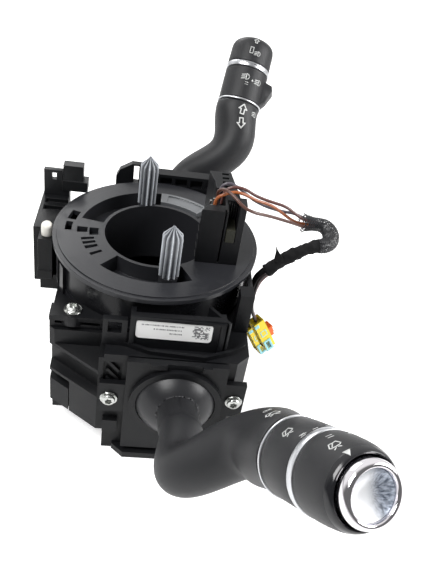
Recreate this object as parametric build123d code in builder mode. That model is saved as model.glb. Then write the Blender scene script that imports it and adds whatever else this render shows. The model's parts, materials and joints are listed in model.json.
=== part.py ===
"""Combination stalk switch: steering-column switch cluster with a clock spring and two stalks.

Frame, in millimetres: +Z runs up the steering axis towards the driver, with z = 0 on the column face.
The origin is on the steering axis. The wiper stalk leaves on the -Y side and the light stalk on +Y.
"""
import os
from math import cos, pi, radians, sin, tan

from build123d import *

os.makedirs("parts", exist_ok=True)

# ---------------------------------------------------------------- fits and clearances
running_fit = 0.05        # radial clearance of a pin or barrel that turns in its bore
seat_gap = 0.30           # clearance between a piece and the pocket it is seated in
sweep_gap = 0.40          # clearance between curved parts that move past each other

# ---------------------------------------------------------------- column sleeve and housing
column_bore_r = 26.0
column_tube_wall = 3.0
column_tube_h = 40.0
sleeve_flange_r = 34.0
sleeve_flange_t = 2.5
housing_left = 49.0       # half widths to the left and right of the steering axis
housing_right = 50.0
housing_half_y = 66.0
housing_h = 66.5
housing_wall = 2.5
housing_floor = 3.0
corner_x = 26.0           # the two left corners are cut off by this much
corner_y = 19.0
corner_recess = 6.0       # the wall between the corner ribs stands this far back
right_corner = 6.0
rib_t = 2.0
rib_levels = (36.0, 55.0)
pocket_right = -23.0      # open compartment in each left corner, above the upper rib
pocket_y = 49.0
skirt_left = -38.0        # the corner is cut back below the ribs too, as far as here
block_top = 30.0
toe_h = 14.0              # height of the left side's underside above the column face
toe_x = -19.5
toe_y = 40.0
foot_h = 4.0
foot_reach = 6.5
foot_left = -14.0
foot_slope = 6.0
mount_hole_r = 2.75
mount_pitch_x = 50.0
mount_pitch_y = 84.0
mount_x = 15.0
mount_boss_r = 6.0
mount_boss_h = 12.0
board_drop = 8.0          # the circuit board lies this far below the housing's rim
board_t = 1.6
board_margin = 5.0
standoff_r = 3.0
standoff_inset = (13.0, 7.0, 32.0)    # from the housing's left, right and long sides
ladder_x = (-20.5, -11.5)             # recess with slanted bars beside the switch case
ladder_z = (47.0, 64.0)
ladder_depth = 1.6
ladder_bars = 3
ladder_bar_t = 1.5
ladder_slope = 50.0

# ---------------------------------------------------------------- cover plate
cover_t = 2.5
deck_z = housing_h + cover_t
cover_corner = housing_half_y - 47.0  # the deck is cut back this far over the corner compartments
panel_left = -9.6
panel_right = 36.0
panel_y = housing_half_y - 6.5
panel_t = 3.0
panel_h = 19.8
panel_border = 1.0
return_t = 2.4
label_w = 36.6
label_h = 11.5
label_t = 0.4
label_x = 11.5
label_rise = 12.4
apron_h = 2.6
apron_t = 1.8
rear_wall_y = housing_half_y - 8.5
rear_wall_left = -12.0
rear_wall_right = 33.0
rear_wall_h = 31.0
rear_wall_t = 4.0
rear_lip = 3.0
rear_rib_pitch = 9.0
bracket_left = -26.0
bracket_right = -11.0
bracket_h = 34.0
bracket_corner = 9.0
bracket_slot_x = (-15.8, -12.8)
bracket_slot_rise = (22.0, 33.0)
front_bracket_x = (-22.4, -10.8)
front_bracket_h = 16.5
front_bracket_t = 3.0
side_wall_t = 2.5
side_wall_half = housing_half_y - 27.0
side_wall_gap = 19.0      # the drum bulges out between the two stretches of wall
side_wall_h = 22.0
post_w = 7.0
post_depth = 8.0
post_h = 24.0
tray_right = -22.0
tray_back = 39.0
tray_front = 48.5
tray_h = 6.0
tray_t = 3.0
boss_r = 6.0
cover_screw_x = -(housing_left - 10.9)
cover_screw_y = housing_half_y - 22.6

# ---------------------------------------------------------------- clock spring
drum_r = 50.0
drum_wall = 2.0
drum_h = 22.4
drum_floor = 1.6
drum_rim = 0.8            # rounded rim that stands proud at the drum's foot
drum_rim_h = 3.0
clip_angles = (196.0, 206.0)
clip_w = 5.0
clip_t = 2.4
clip_h = 17.0
flange_gap = 0.6
flange_r = 54.0
flange_t = 3.0
flange_top = deck_z + drum_h + flange_gap + flange_t
rim_step_w = 2.2          # narrow step round the flange's outer edge
rim_step_d = 0.6
annulus_r = 41.0          # inner edge of the wide flat ring
trough_depth = 9.0
trough_floor_z = flange_top - trough_depth
trough_t = 2.0
trough_wall = 1.6
collar_r = 29.1
hub_bore_r = 27.3
hub_bottom = deck_z - 9.0
cable_h = 11.0
cable_t = 0.8
cable_turns = 3
cable_pitch = 3.0
cam_r = 33.5
cam_lobe = 3.0
cam_h = 5.5
cam_clearance = 2.0
deck_spans = ((-63.0, 41.0), (168.0, 229.0))   # raised decks of the rotor, in degrees
ring_notches = ((44.4, 47.8, 175.0, 184.5), (43.6, 48.0, 161.5, 172.0))
deck_pockets = ((36.2, 41.6, 179.5, 186.5), (30.6, 35.2, 179.5, 190.5))
deck_slot_r = (33.2, 39.8)
deck_slot_angles = ((193.5, 196.5), (199.0, 202.0), (204.5, 208.0), (213.5, 216.5))
pocket_d = 1.8

# drive posts on the rotor, and the fluted sleeves pushed over them
post_ring_r = 33.0
post_angle = -78.0
post_r = 2.6
post_seat_r = 4.8
post_up = 16.0
sleeve_r = 5.2
sleeve_z = flange_top - 1.0
sleeve_len = 29.0
sleeve_cone_h = 6.0
sleeve_tip_r = 0.8
flute_count = 10
flute_r = 0.95

# connector tower on the rotor
tower_h = 31.5
tower_wall_h = 36.0
tower_front = -21.0
tower_left = 19.6
tower_right = 41.4
tower_split = 32.0
tower_split_w = 0.9
tower_back = 18.0
tower_wall = 2.4
tower_outline = ((tower_left, tower_front), (tower_right, tower_front), (39.8, -8.0), (36.0, tower_back),
                 (24.5, tower_back), (27.0, 8.0), (27.9, -2.0), (24.8, -13.0))
bay_back = -10.0
contact_rise = 14.0
contact_h = 7.5
wire_pocket_x = (22.0, 31.7)
wire_pocket_y = (-15.4, 0.8)
wire_pocket_d = 5.5
slot_rows = 4
slot_pitch = 4.2

# centring window on the rotor deck
window_span = (47.0, 88.0)
window_w = 9.6
window_proud = 0.8
window_frame = 1.6
window_d = 0.8

# ---------------------------------------------------------------- stalk modules, y taken outwards
pivot_x = 16.0            # each stalk swings about the middle of its ball boot
pivot_y = housing_half_y - 2.0
pivot_z = housing_h - 22.5
boot_r = 21.5
boot_t = 1.8
boot_back = 5.5           # the boot starts this far in front of its centre
boot_floor = 1.2
plate_front = pivot_y + 7.0
plate_back = plate_front - 3.0
plate_top = housing_h + 3.6
case_back = pivot_y - 18.0
case_left = -7.5
case_right = 39.5
case_bottom = 20.0
plate_left = -9.3
plate_right = 39.6
plate_bottom = 7.0
ear_t = 3.0
bezel_r = 23.0
bezel_t = 2.5
pocket_half_x = 20.0
pocket_half_z = 16.6
pocket_back = pivot_y - 15.5
ear_left = -22.0
ear_right = 50.5
ear_left_z = (pivot_z - 12.0, pivot_z + 8.0)
ear_right_z = (pivot_z - 10.0, pivot_z + 13.0)
case_screws = ((-16.9, pivot_z - 2.0), (45.2, pivot_z + 1.5))
tab_x = ((2.0, 10.0), (27.0, 31.5))
tab_drop = 3.2
tab_t = 1.2
step_x = (-19.5, -12.0)
step_z = (16.0, 24.5)
screw_r = 1.9
screw_head_r = 3.4
screw_head_h = 2.0
screw_flange_r = 4.4
screw_flange_t = 0.9
screw_len = 9.0

yoke_half_x = 9.0
yoke_half_z = 15.8
yoke_t = 9.0
yoke_window_z = 12.0
trunnion_r = 2.2
trunnion_end = 21.0
tongue_half_x = 5.0
tongue_half_z = 6.0
tongue_tail = 7.5
tongue_front = 12.0
neck_start = 9.6
pivot_pin_r = 1.5
plunger_r = 2.0
plunger_reach = 11.5
plunger_seat = 3.5
detent_half = 8.0
detent_t = 6.0

neck_r = 10.0
neck_end = 31.0
elbow_r = 11.8
waist_r = 12.6
core_r = 9.0
barrel_r = 14.7
ring_r = 15.1
ring_t = 1.3
band_t = 3.4
band_r = 14.95
edge_round = 0.5
stalks = {                # places from the pivot, y taken outwards, and the barrels' lengths
    "wiper": {"elbow": (2.7, 57.0, 14.0), "shoulder": (28.2, 63.5, 42.2), "ring": (36.1, 88.9, 68.1),
              "axis": (0.298, 0.740, 0.603), "shoulder_r": 13.4, "mid_len": 17.9, "end_len": 18.5},
    "light": {"elbow": (2.7, 57.0, 14.0), "shoulder": (30.5, 63.5, 39.5), "ring": (34.4, 82.0, 64.0),
              "axis": (0.167, 0.652, 0.740), "shoulder_r": 13.4, "mid_len": 22.0, "end_len": 21.0},
}
end_r = 13.4
end_bore = 8.0            # the core tube carries the end barrel this far
button_recess_r = 12.2
button_recess = 7.0
button_r = 10.85
button_cap_r = 8.8
button_round = 1.7
button_proud = 4.6
button_dish = 1.3         # the cap lies this far below the ring's rim
button_dish_r = 22.0
button_stem_r = 3.0
button_travel = 2.0
lug_reach = 20.5
lug_half = 5.6
lug_len = 15.0
lug_slope = 3.4

# ---------------------------------------------------------------- side pod
pod_left = -65.5
pod_wall = 2.5
pod_right = -50.8
pod_front = 6.0
pod_back = 46.0
pod_bottom = 52.0
pod_top = deck_z + 19.0
header_left = -61.4
header_right = -53.8
header_front = -5.0
header_bottom = deck_z - 6.5
hood_y = (39.0, 42.0)
hood_x = (-64.8, -54.6)
hood_h = 16.2
hood_hole = (2.6, 4.2)
hood_hole_rise = 12.4
riser_x = (-54.3, -43.2)
riser_y = (39.2, 45.0)
riser_h = 19.7
sill_x = (-54.6, -40.6)
sill_y = (38.4, 46.0)
sill_rise = (4.0, 10.3)
pod_slot_y = ((31.0, 35.5), (24.0, 28.0))
pod_slot_d = 2.5
peg_r = 3.0
peg_x = -57.4
peg_y = 1.0
peg_h = 6.5

# ---------------------------------------------------------------- wiring harness
wire_r = 0.8
sleeving_r = 3.4
lead_tube_r = 1.75
lead_wire_r = 0.8
tower_top = flange_top + tower_h
exit_z = tower_top - wire_pocket_d     # the wires leave through a pocket in the tower's top
wire_routes = {
    "wire_brown_low": ((27.4, -9.2, exit_z), (27.4, -9.2, 126.0), (26.9, -11.4, 132.4), (29.6, -15.6, 136.2),
                       (33.8, -20.6, 135.6), (38.6, -25.2, 132.6), (44.8, -25.2, 130.2), (51.8, -20.8, 126.8),
                       (60.2, -14.4, 121.4), (68.6, -8.8, 116.2), (76.0, -2.6, 110.6), (82.5, -2.6, 110.6)),
    "wire_orange": ((26.0, -13.0, exit_z), (26.0, -13.0, 125.2), (26.8, -13.0, 129.4), (30.6, -12.8, 131.6),
                    (35.4, -12.2, 133.2), (41.2, -11.0, 131.2), (47.6, -9.0, 127.2), (55.0, -6.0, 124.2),
                    (62.4, -3.2, 118.6), (69.4, -0.6, 112.6), (76.0, 0.8, 110.2), (82.5, 0.8, 110.2)),
    "wire_violet": ((29.0, -1.2, exit_z), (29.0, -1.2, 125.0), (29.6, -1.2, 129.0), (32.6, -1.1, 131.2),
                    (36.4, -1.0, 130.2), (41.0, -0.8, 127.2), (46.4, -0.6, 122.8), (54.0, -0.1, 119.2),
                    (63.4, 0.5, 116.8), (70.4, 0.8, 116.4), (76.4, 0.4, 113.7), (82.5, 0.4, 113.7)),
    "wire_brown_high": ((30.4, -5.2, exit_z), (30.4, -5.2, 125.2), (31.4, -5.1, 129.4), (35.4, -4.9, 131.6),
                        (41.0, -4.7, 131.0), (47.4, -4.4, 127.2), (55.4, -3.9, 124.6), (64.2, -3.3, 122.4),
                        (70.6, -2.6, 117.6), (76.6, -2.2, 114.0), (82.5, -2.2, 114.0)),
}
sleeving_route = ((82.5, -0.8, 112.0), (88.1, -0.8, 112.0), (92.6, -4.6, 110.8), (92.4, -10.4, 109.2),
                  (88.0, -14.6, 108.0), (81.6, -16.0, 108.4), (75.4, -15.8, 105.0), (69.2, -15.7, 100.6),
                  (63.6, -15.9, 95.2), (58.8, -15.8, 89.6))
lead_tube_route = ((58.8, -14.2, 89.6), (55.2, -14.125, 85.4), (54.2, -13.2, 79.2), (54.1, -11.6, 72.6),
                   (54.2, -9.4, 65.8), (54.2, -7.0, 59.0), (54.6, -5.0, 52.4), (56.3, -4.4, 45.62),
                   (59.2, -4.4, 40.6))
lead_wire_routes = {
    "lead_wire_front": ((58.8, -18.2, 89.6), (55.92, -18.14, 86.24), (54.8, -18.4, 80.0), (54.5, -18.6, 73.2),
                        (54.8, -18.5, 66.6), (56.5, -18.4, 60.33), (59.0, -18.4, 56.0)),
    "lead_wire_back": ((60.2, -16.9, 88.4), (57.32, -16.84, 85.04), (55.6, -16.6, 79.0), (55.0, -16.2, 72.6),
                       (55.0, -16.1, 66.2), (56.5, -16.2, 60.33), (59.0, -16.2, 56.0)),
}
plug_ends = ((59.0, -17.3, 56.0), (59.2, -4.4, 40.6))   # middle of each plug's wire face
plug_dir = (0.5, 0.0, -0.866)
plug_len = 20.0
plug_w = 8.5
plug_t = 7.5


def outline(cut_x, cut_y, inset=0.0):
    """Housing outline in plan: left corners cut by cut_x and cut_y, everything set in by inset."""
    left = -housing_left + inset
    right = housing_right - inset
    half = housing_half_y - inset
    return [
        (left, -half + cut_y),
        (left + cut_x, -half),
        (right - right_corner, -half),
        (right, -half + right_corner),
        (right, half - right_corner),
        (right - right_corner, half),
        (left + cut_x, half),
        (left, half - cut_y),
        (left, -half + cut_y),
    ]


def outwards(side, point):
    """Mirrors a point, given with y taken outwards, to the wiper side (-1) or the light side (+1)."""
    return Vector(point[0], side * point[1], point[2])


def reach(side, near, far):
    """Low and high y of an interval given outwards."""
    return sorted((side * near, side * far))


def block(x, y, z, mode=Mode.ADD):
    """A box given by its low and high faces on each axis."""
    middle = tuple((low + high) / 2 for low, high in (x, y, z))
    with Locations(middle):
        return Box(x[1] - x[0], y[1] - y[0], z[1] - z[0], mode=mode)


def ring(outer, inner, low, high, mode=Mode.ADD):
    """A flat ring about the steering axis, between two heights."""
    with BuildSketch(Plane.XY.offset(low)) as flat:
        Circle(outer)
        Circle(inner, mode=Mode.SUBTRACT)
    extrude(to_extrude=flat.sketch, amount=high - low, mode=mode)


def sector(inner, outer, start, end, low, high, mode=Mode.ADD):
    """A piece of such a ring between two angles."""
    with BuildSketch(Plane.XY.offset(low)) as flat:
        with BuildLine():
            near = CenterArc((0, 0), inner, start, end - start)
            far = CenterArc((0, 0), outer, start, end - start)
            Line(near @ 0, far @ 0)
            Line(near @ 1, far @ 1)
        make_face()
    extrude(to_extrude=flat.sketch, amount=high - low, mode=mode)


def prism(points, low, high, mode=Mode.ADD):
    """An upright prism over a closed outline in plan."""
    with BuildSketch(Plane.XY.offset(low)) as flat:
        with BuildLine():
            Polyline(*points, points[0])
        make_face()
    extrude(to_extrude=flat.sketch, amount=high - low, mode=mode)


def upright(y, points, depth, mode=Mode.ADD):
    """A plate that stands on edge: an outline in x and z at one y, with its depth along +Y."""
    with BuildSketch(Plane((0, y, 0), x_dir=(1, 0, 0), z_dir=(0, -1, 0))) as flat:
        with BuildLine():
            Polyline(*points, points[0])
        make_face()
    extrude(to_extrude=flat.sketch, amount=-depth, mode=mode)


def write(solid, label):
    """Labels a finished piece and writes it to its own file."""
    solid.label = label
    export_step(solid, f"parts/{label}.step")


def on_ring(radius, angle, height):
    """A point at a radius and an angle round the steering axis."""
    return radius * cos(radians(angle)), radius * sin(radians(angle)), height


recess_x = corner_x + corner_recess * 1.6
recess_y = corner_y + corner_recess * 1.2
board_z = housing_h - board_drop
rib_top = rib_levels[-1] + rib_t

# ================================================================ fixed structure

with BuildPart() as column_sleeve:
    with Locations((0, 0, column_tube_h / 2)):
        Cylinder(column_bore_r + column_tube_wall, column_tube_h)
    ring(sleeve_flange_r, column_bore_r, housing_floor, housing_floor + sleeve_flange_t)
    with Locations((0, 0, column_tube_h / 2)):
        Cylinder(column_bore_r, 2 * column_tube_h, mode=Mode.SUBTRACT)
write(column_sleeve.part, "column_sleeve")

with BuildPart() as column_housing:
    prism(outline(corner_x, corner_y)[:-1], 0, housing_h)
    prism(outline(recess_x, recess_y, housing_wall)[:-1], housing_floor, housing_h + 1, Mode.SUBTRACT)
    pocket_wall = pocket_right + housing_wall
    beyond = housing_half_y + 1
    for side in (-1, 1):
        # the cut-back corner: a band between the two ribs, and a stretch below them
        recess_line = [(-housing_left - 1, side * (housing_half_y - recess_y - 0.7)),
                       (pocket_right, side * (housing_half_y - recess_y + 19.1)),
                       (pocket_right, side * beyond), (-housing_left - 1, side * beyond)]
        prism(recess_line, rib_levels[0] + rib_t, rib_levels[1], Mode.SUBTRACT)
        lower_line = [(-housing_left - 1, side * (housing_half_y - recess_y - 0.7)),
                      (skirt_left, side * (housing_half_y - recess_y + 8.1)),
                      (skirt_left, side * beyond), (-housing_left - 1, side * beyond)]
        prism(lower_line, -1, rib_levels[0], Mode.SUBTRACT)
        prism([(-housing_left, side * (pocket_y - 9.0)), (-housing_left, side * (housing_half_y - corner_y)),
               (skirt_left - 0.5, side * (housing_half_y - corner_y + 7.6)),
               (skirt_left - 0.5, side * (pocket_y - 9.0))],
              toe_h, block_top)
        # open compartment above the upper rib
        prism([(-housing_left, side * (pocket_y - housing_wall)),
               (-housing_left, side * (housing_half_y - corner_y)),
               (pocket_right, side * housing_half_y), (pocket_wall, side * housing_half_y),
               (pocket_wall, side * (pocket_y - housing_wall))], rib_levels[1], housing_h)
        prism([(-housing_left + housing_wall, side * pocket_y), (pocket_right, side * pocket_y),
               (pocket_right, side * beyond), (-housing_left + housing_wall, side * beyond)],
              rib_top, housing_h + 1, Mode.SUBTRACT)
        # the left side does not reach down to the column face
        block((-housing_left - 1, toe_x), reach(side, toe_y, beyond), (-1, toe_h), Mode.SUBTRACT)
        toe_wall_x = toe_x + housing_wall
        toe_wall_y = toe_y - housing_wall
        prism([(housing_wall / 2 - housing_left, side * toe_wall_y),
               (housing_wall / 2 - housing_left, side * toe_y),
               (toe_x, side * (pocket_y + 6.5)), (toe_x, side * (housing_half_y - 1)),
               (toe_wall_x, side * (housing_half_y - 1)), (toe_wall_x, side * toe_wall_y)],
              toe_h, toe_h + housing_floor)
        block((toe_x, toe_wall_x), reach(side, toe_wall_y, housing_half_y - 1), (0, toe_h))
        block((housing_wall / 2 - housing_left, toe_wall_x), reach(side, toe_wall_y, toe_y), (0, toe_h))
    # opening for the column sleeve
    with Locations((0, 0, housing_floor / 2)):
        Cylinder(column_bore_r + column_tube_wall + running_fit, 2 * housing_floor, mode=Mode.SUBTRACT)
    # bosses and holes of the four column screws
    with Locations((mount_x, 0, mount_boss_h / 2)):
        with GridLocations(mount_pitch_x, mount_pitch_y, 2, 2):
            Cylinder(mount_boss_r, mount_boss_h)
    with Locations((mount_x, 0, mount_boss_h / 2)):
        with GridLocations(mount_pitch_x, mount_pitch_y, 2, 2):
            Cylinder(mount_hole_r, mount_boss_h * 2, mode=Mode.SUBTRACT)
    # standoffs under the circuit board
    from_left, from_right, from_side = standoff_inset
    for x in (-housing_left + from_left, housing_right - from_right):
        for side in (-1, 1):
            with Locations((x, side * (housing_half_y - from_side), (board_z + housing_floor) / 2)):
                Cylinder(standoff_r, board_z - housing_floor)
    for side in (-1, 1):
        # foot flange in front of the switch case
        foot = [(foot_left, side * (housing_half_y - 1)),
                (foot_left, side * (housing_half_y + 1)),
                (foot_left + foot_slope, side * (housing_half_y + foot_reach)),
                (housing_right - 8, side * (housing_half_y + foot_reach)),
                (housing_right - 4, side * (housing_half_y - 1))]
        prism(foot, 0, foot_h)
        # window that the switch case slides into
        block((case_left - seat_gap, case_right + seat_gap),
              reach(side, housing_half_y - housing_wall - 1, housing_half_y + 1),
              (case_bottom - seat_gap, housing_h + 1), Mode.SUBTRACT)
        # recess with slanted bars
        face = side * (housing_half_y - ladder_depth)
        block(ladder_x, reach(side, housing_half_y - ladder_depth, housing_half_y + 1), ladder_z,
              Mode.SUBTRACT)
        bar_pitch = (ladder_z[1] - ladder_z[0]) / ladder_bars
        for number in range(ladder_bars):
            bar_z = ladder_z[0] + bar_pitch * (number + 0.5)
            with Locations(Location((sum(ladder_x) / 2, face, bar_z), (0, ladder_slope, 0))):
                Box(ladder_x[1] - ladder_x[0], 2 * ladder_depth, ladder_bar_t)
        # step beside the plate's lower end
        block(step_x, reach(side, housing_half_y - 1, housing_half_y + ear_t), step_z)
        # pilot holes for the case screws
        with Locations([Location((x, side * housing_half_y, z), (90, 0, 0)) for x, z in case_screws]):
            Cylinder(screw_r + seat_gap, 12, mode=Mode.SUBTRACT)
write(column_housing.part, "column_housing")

with BuildPart() as module_cover:
    half = housing_half_y
    deck = []
    for side in (-1, 1):
        notch = [(-housing_left, side * (half - cover_corner)),
                 (pocket_wall, side * (half - cover_corner)),
                 (pocket_wall, side * half),
                 (housing_right - right_corner, side * half),
                 (housing_right, side * (half - right_corner))]
        deck += notch if side < 0 else notch[::-1]
    prism(deck, housing_h, deck_z)
    with Locations((0, 0, housing_h)):
        Cylinder(cam_r + cam_lobe + cam_clearance, 4 * cover_t, mode=Mode.SUBTRACT)
    # raised lip along the front and back edges
    for side in (-1, 1):
        lip = [(-14.0, side * (half - 6.6)), (-9.6, side * (half - 5.6)), (1.1, side * (half - 1.5)),
               (27.8, side * half), (41.4, side * (half - 5.9)), (48.0, side * (half - 11.4))]
        inner = [(x, y - side * apron_t) for x, y in reversed(lip)]
        prism(lip + inner, deck_z, deck_z + apron_h)
    # label panel with its two side returns
    upright(-panel_y, [(panel_left, deck_z), (panel_right, deck_z), (panel_right, deck_z + panel_h + 1.0),
                       (panel_left, deck_z + panel_h)], panel_t)
    for x in (panel_left, panel_right - return_t):
        block((x, x + return_t), (-panel_y - panel_border, -panel_y + 2.2 * panel_t),
              (deck_z, deck_z + panel_h))
    block((panel_left, panel_right), (-panel_y - panel_border, -panel_y),
          (deck_z + panel_h - 1.6, deck_z + panel_h))
    # web from the panel's right end to the drum
    prism([(27.6, -48.6), (28.8, -47.6), (38.4, -59.0), (37.2, -60.0)], deck_z, deck_z + panel_h)
    # front bracket with its window
    block(front_bracket_x, (-panel_y, -panel_y + front_bracket_t), (deck_z, deck_z + front_bracket_h))
    block((front_bracket_x[0] + 2.4, front_bracket_x[1] - 2.6),
          (-panel_y - 1, -panel_y + front_bracket_t + 1),
          (deck_z + front_bracket_h - 8.2, deck_z + front_bracket_h - 1.6), Mode.SUBTRACT)
    # screw trays over the two corner compartments
    for side in (-1, 1):
        block((-housing_left, tray_right), reach(side, tray_back, tray_front),
              (deck_z + tray_h - tray_t, deck_z + tray_h))
        block((-housing_left, -housing_left + housing_wall), reach(side, tray_back, half - cover_corner),
              (deck_z, deck_z + tray_h))
        block((tray_right - housing_wall, tray_right), reach(side, tray_back, half - cover_corner),
              (deck_z, deck_z + tray_h))
        with Locations((cover_screw_x, side * cover_screw_y, deck_z + tray_h / 2)):
            Cylinder(boss_r, tray_h)
    # the drum's seat is kept clear of the trays
    ring(drum_r + drum_rim + seat_gap, 0.5, deck_z, deck_z + tray_h + 1, Mode.SUBTRACT)
    # right wall beside the drum, with the post that stands up at its front end
    for side in (-1, 1):
        block((housing_right - side_wall_t, housing_right), reach(side, side_wall_gap, side_wall_half),
              (deck_z, deck_z + side_wall_h))
    block((housing_right - post_w, housing_right),
          (-side_wall_half - post_depth / 2, -side_wall_half + post_depth / 2), (deck_z, deck_z + post_h))
    # tall wall behind the rotor, with ribs and a lip
    wall_top = deck_z + rear_wall_h
    upright(rear_wall_y,
            [(rear_wall_left, deck_z), (rear_wall_right + 3, deck_z), (rear_wall_right + 3, wall_top - 6),
                          (rear_wall_right - 3, wall_top), (rear_wall_left, wall_top)], rear_wall_t)
    block((rear_wall_left, rear_wall_right - 3), (rear_wall_y - rear_lip, rear_wall_y),
          (wall_top - rib_t, wall_top))
    for x in (-2.0, 7.0, 16.0, 25.0):
        block((x, x + rib_t), (rear_wall_y - rear_lip, rear_wall_y), (wall_top - rear_rib_pitch, wall_top))
    block((rear_wall_left, rear_wall_right - 3), (rear_wall_y - rear_lip, rear_wall_y),
          (wall_top - rear_rib_pitch, wall_top - rear_rib_pitch + rib_t))
    # slotted bracket beside it
    bracket_top = deck_z + bracket_h
    upright(rear_wall_y, [(bracket_left, deck_z), (bracket_right, deck_z), (bracket_right, bracket_top),
                          (bracket_left + bracket_corner, bracket_top),
                          (bracket_left + 2, bracket_top - bracket_corner / 2),
                          (bracket_left, bracket_top - bracket_corner)], rear_wall_t)
    block(bracket_slot_x, (rear_wall_y - 1, rear_wall_y + rear_wall_t + 1),
          (deck_z + bracket_slot_rise[0], deck_z + bracket_slot_rise[1]), Mode.SUBTRACT)
write(module_cover.part, "module_cover")

with BuildPart() as label_plate:
    with BuildSketch(Plane((label_x, -panel_y, deck_z + label_rise), x_dir=(1, 0, 0), z_dir=(0, -1, 0))):
        RectangleRounded(label_w, label_h, 2.2)
    extrude(amount=label_t)
write(label_plate.part, "label_plate")

with BuildPart() as circuit_board:
    prism(outline(recess_x, recess_y, housing_wall + board_margin)[:-1], board_z, board_z + board_t)
    for side in (-1, 1):
        block((-housing_left, pocket_right + housing_wall + 1),
              reach(side, pocket_y - housing_wall - 1, housing_half_y),
              (board_z - 1, board_z + board_t + 1), Mode.SUBTRACT)
        block((-housing_left, housing_right), reach(side, case_back - 1, housing_half_y),
              (board_z - 1, board_z + board_t + 1), Mode.SUBTRACT)
    with Locations((0, 0, board_z)):
        Cylinder(cam_r + cam_lobe + cam_clearance, 4 * board_t, mode=Mode.SUBTRACT)
write(circuit_board.part, "circuit_board")

with BuildPart() as clockspring_stator:
    ring(drum_r, collar_r + 2 * seat_gap, deck_z, deck_z + drum_floor)
    ring(drum_r, drum_r - drum_wall, deck_z, deck_z + drum_h)
    # snap clips on the drum's left side
    for angle in clip_angles:
        with Locations(Location(on_ring(drum_r + clip_t / 2 - 0.4, angle, deck_z + clip_h / 2),
                                (0, 0, angle))):
            Box(clip_t, clip_w, clip_h)
    # rounded rim at the drum's foot
    ring(drum_r + drum_rim, drum_r - drum_wall, deck_z, deck_z + drum_rim_h)
write(clockspring_stator.part, "clockspring_stator")

# flat cable, coiled between the hub and the drum
with BuildPart() as flat_cable:
    steps = 8 * cable_turns
    inner_r = collar_r + 4.0
    turn = [2 * pi * i / 8 for i in range(steps + 1)]
    radius = [inner_r + cable_pitch * i / 8 for i in range(steps + 1)]
    inside = [(r * cos(a), r * sin(a)) for r, a in zip(radius, turn)]
    outside = [((r + cable_t) * cos(a), (r + cable_t) * sin(a)) for r, a in zip(radius, turn)]
    with BuildSketch(Plane.XY.offset(deck_z + drum_floor)):
        with BuildLine():
            Spline(*inside)
            Line(inside[-1], outside[-1])
            Spline(*outside)
            Line(outside[0], inside[0])
        make_face()
    extrude(amount=cable_h)
write(flat_cable.part, "flat_cable")

# ================================================================ rotor

with BuildPart() as clockspring_rotor:
    ring(flange_r, annulus_r, flange_top - flange_t, flange_top)
    ring(flange_r + 1, flange_r - rim_step_w, flange_top - rim_step_d, flange_top + 1, Mode.SUBTRACT)
    # trough between the flat ring and the collar
    ring(annulus_r + trough_wall, hub_bore_r, trough_floor_z - trough_t, trough_floor_z)
    ring(annulus_r + trough_wall, annulus_r, trough_floor_z, flange_top - flange_t / 2)
    ring(collar_r, hub_bore_r, hub_bottom, flange_top)
    # raised decks
    for start, end in deck_spans:
        sector(collar_r - 0.5, annulus_r + 0.5, start, end, trough_floor_z, flange_top)
    # square notches in the flat ring, pockets and slots in the left deck
    for inner, outer, start, end in ring_notches:
        sector(inner, outer, start, end, flange_top - flange_t - 1, flange_top + 1, Mode.SUBTRACT)
    for inner, outer, start, end in deck_pockets:
        sector(inner, outer, start, end, flange_top - 2 * pocket_d, flange_top + 1, Mode.SUBTRACT)
    for start, end in deck_slot_angles:
        sector(*deck_slot_r, start, end, flange_top - pocket_d, flange_top + 1, Mode.SUBTRACT)
    # seats and pins of the two drive posts, with the collar cut away for the sleeves
    for angle in (post_angle, post_angle + 180):
        with Locations(on_ring(post_ring_r, angle, sleeve_z + 5)):
            Cylinder(sleeve_r + seat_gap, 10, mode=Mode.SUBTRACT)
        with Locations(on_ring(post_ring_r, angle, (trough_floor_z + sleeve_z) / 2)):
            Cylinder(post_seat_r, sleeve_z - trough_floor_z)
        with Locations(on_ring(post_ring_r, angle, sleeve_z + post_up / 2)):
            Cylinder(post_r, post_up)
write(clockspring_rotor.part, "clockspring_rotor")

with BuildPart() as cancel_cam:
    with BuildSketch(Plane.XY.offset(hub_bottom)):
        Circle(cam_r)
        with PolarLocations(cam_r - 2, 2, start_angle=45):
            Circle(cam_lobe + 2)
        Circle(collar_r + running_fit, mode=Mode.SUBTRACT)
    extrude(amount=cam_h)
write(cancel_cam.part, "cancel_cam")

with BuildPart() as drive_sleeves:
    for angle in (post_angle, post_angle + 180):
        x, y, _ = on_ring(post_ring_r, angle, 0)
        with BuildSketch(Plane.XY.offset(sleeve_z)):
            with Locations((x, y)):
                Circle(sleeve_r)
                with PolarLocations(sleeve_r + 0.2, flute_count):
                    Circle(flute_r, mode=Mode.SUBTRACT)
        extrude(amount=sleeve_len - sleeve_cone_h)
        with Locations((x, y, sleeve_z + sleeve_len - sleeve_cone_h / 2)):
            Cone(sleeve_r, sleeve_tip_r, sleeve_cone_h)
        with Locations((x, y, sleeve_z + post_up / 2)):
            Cylinder(post_r + running_fit, post_up + 2 * seat_gap, mode=Mode.SUBTRACT)
write(drive_sleeves.part, "drive_sleeves")

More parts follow.
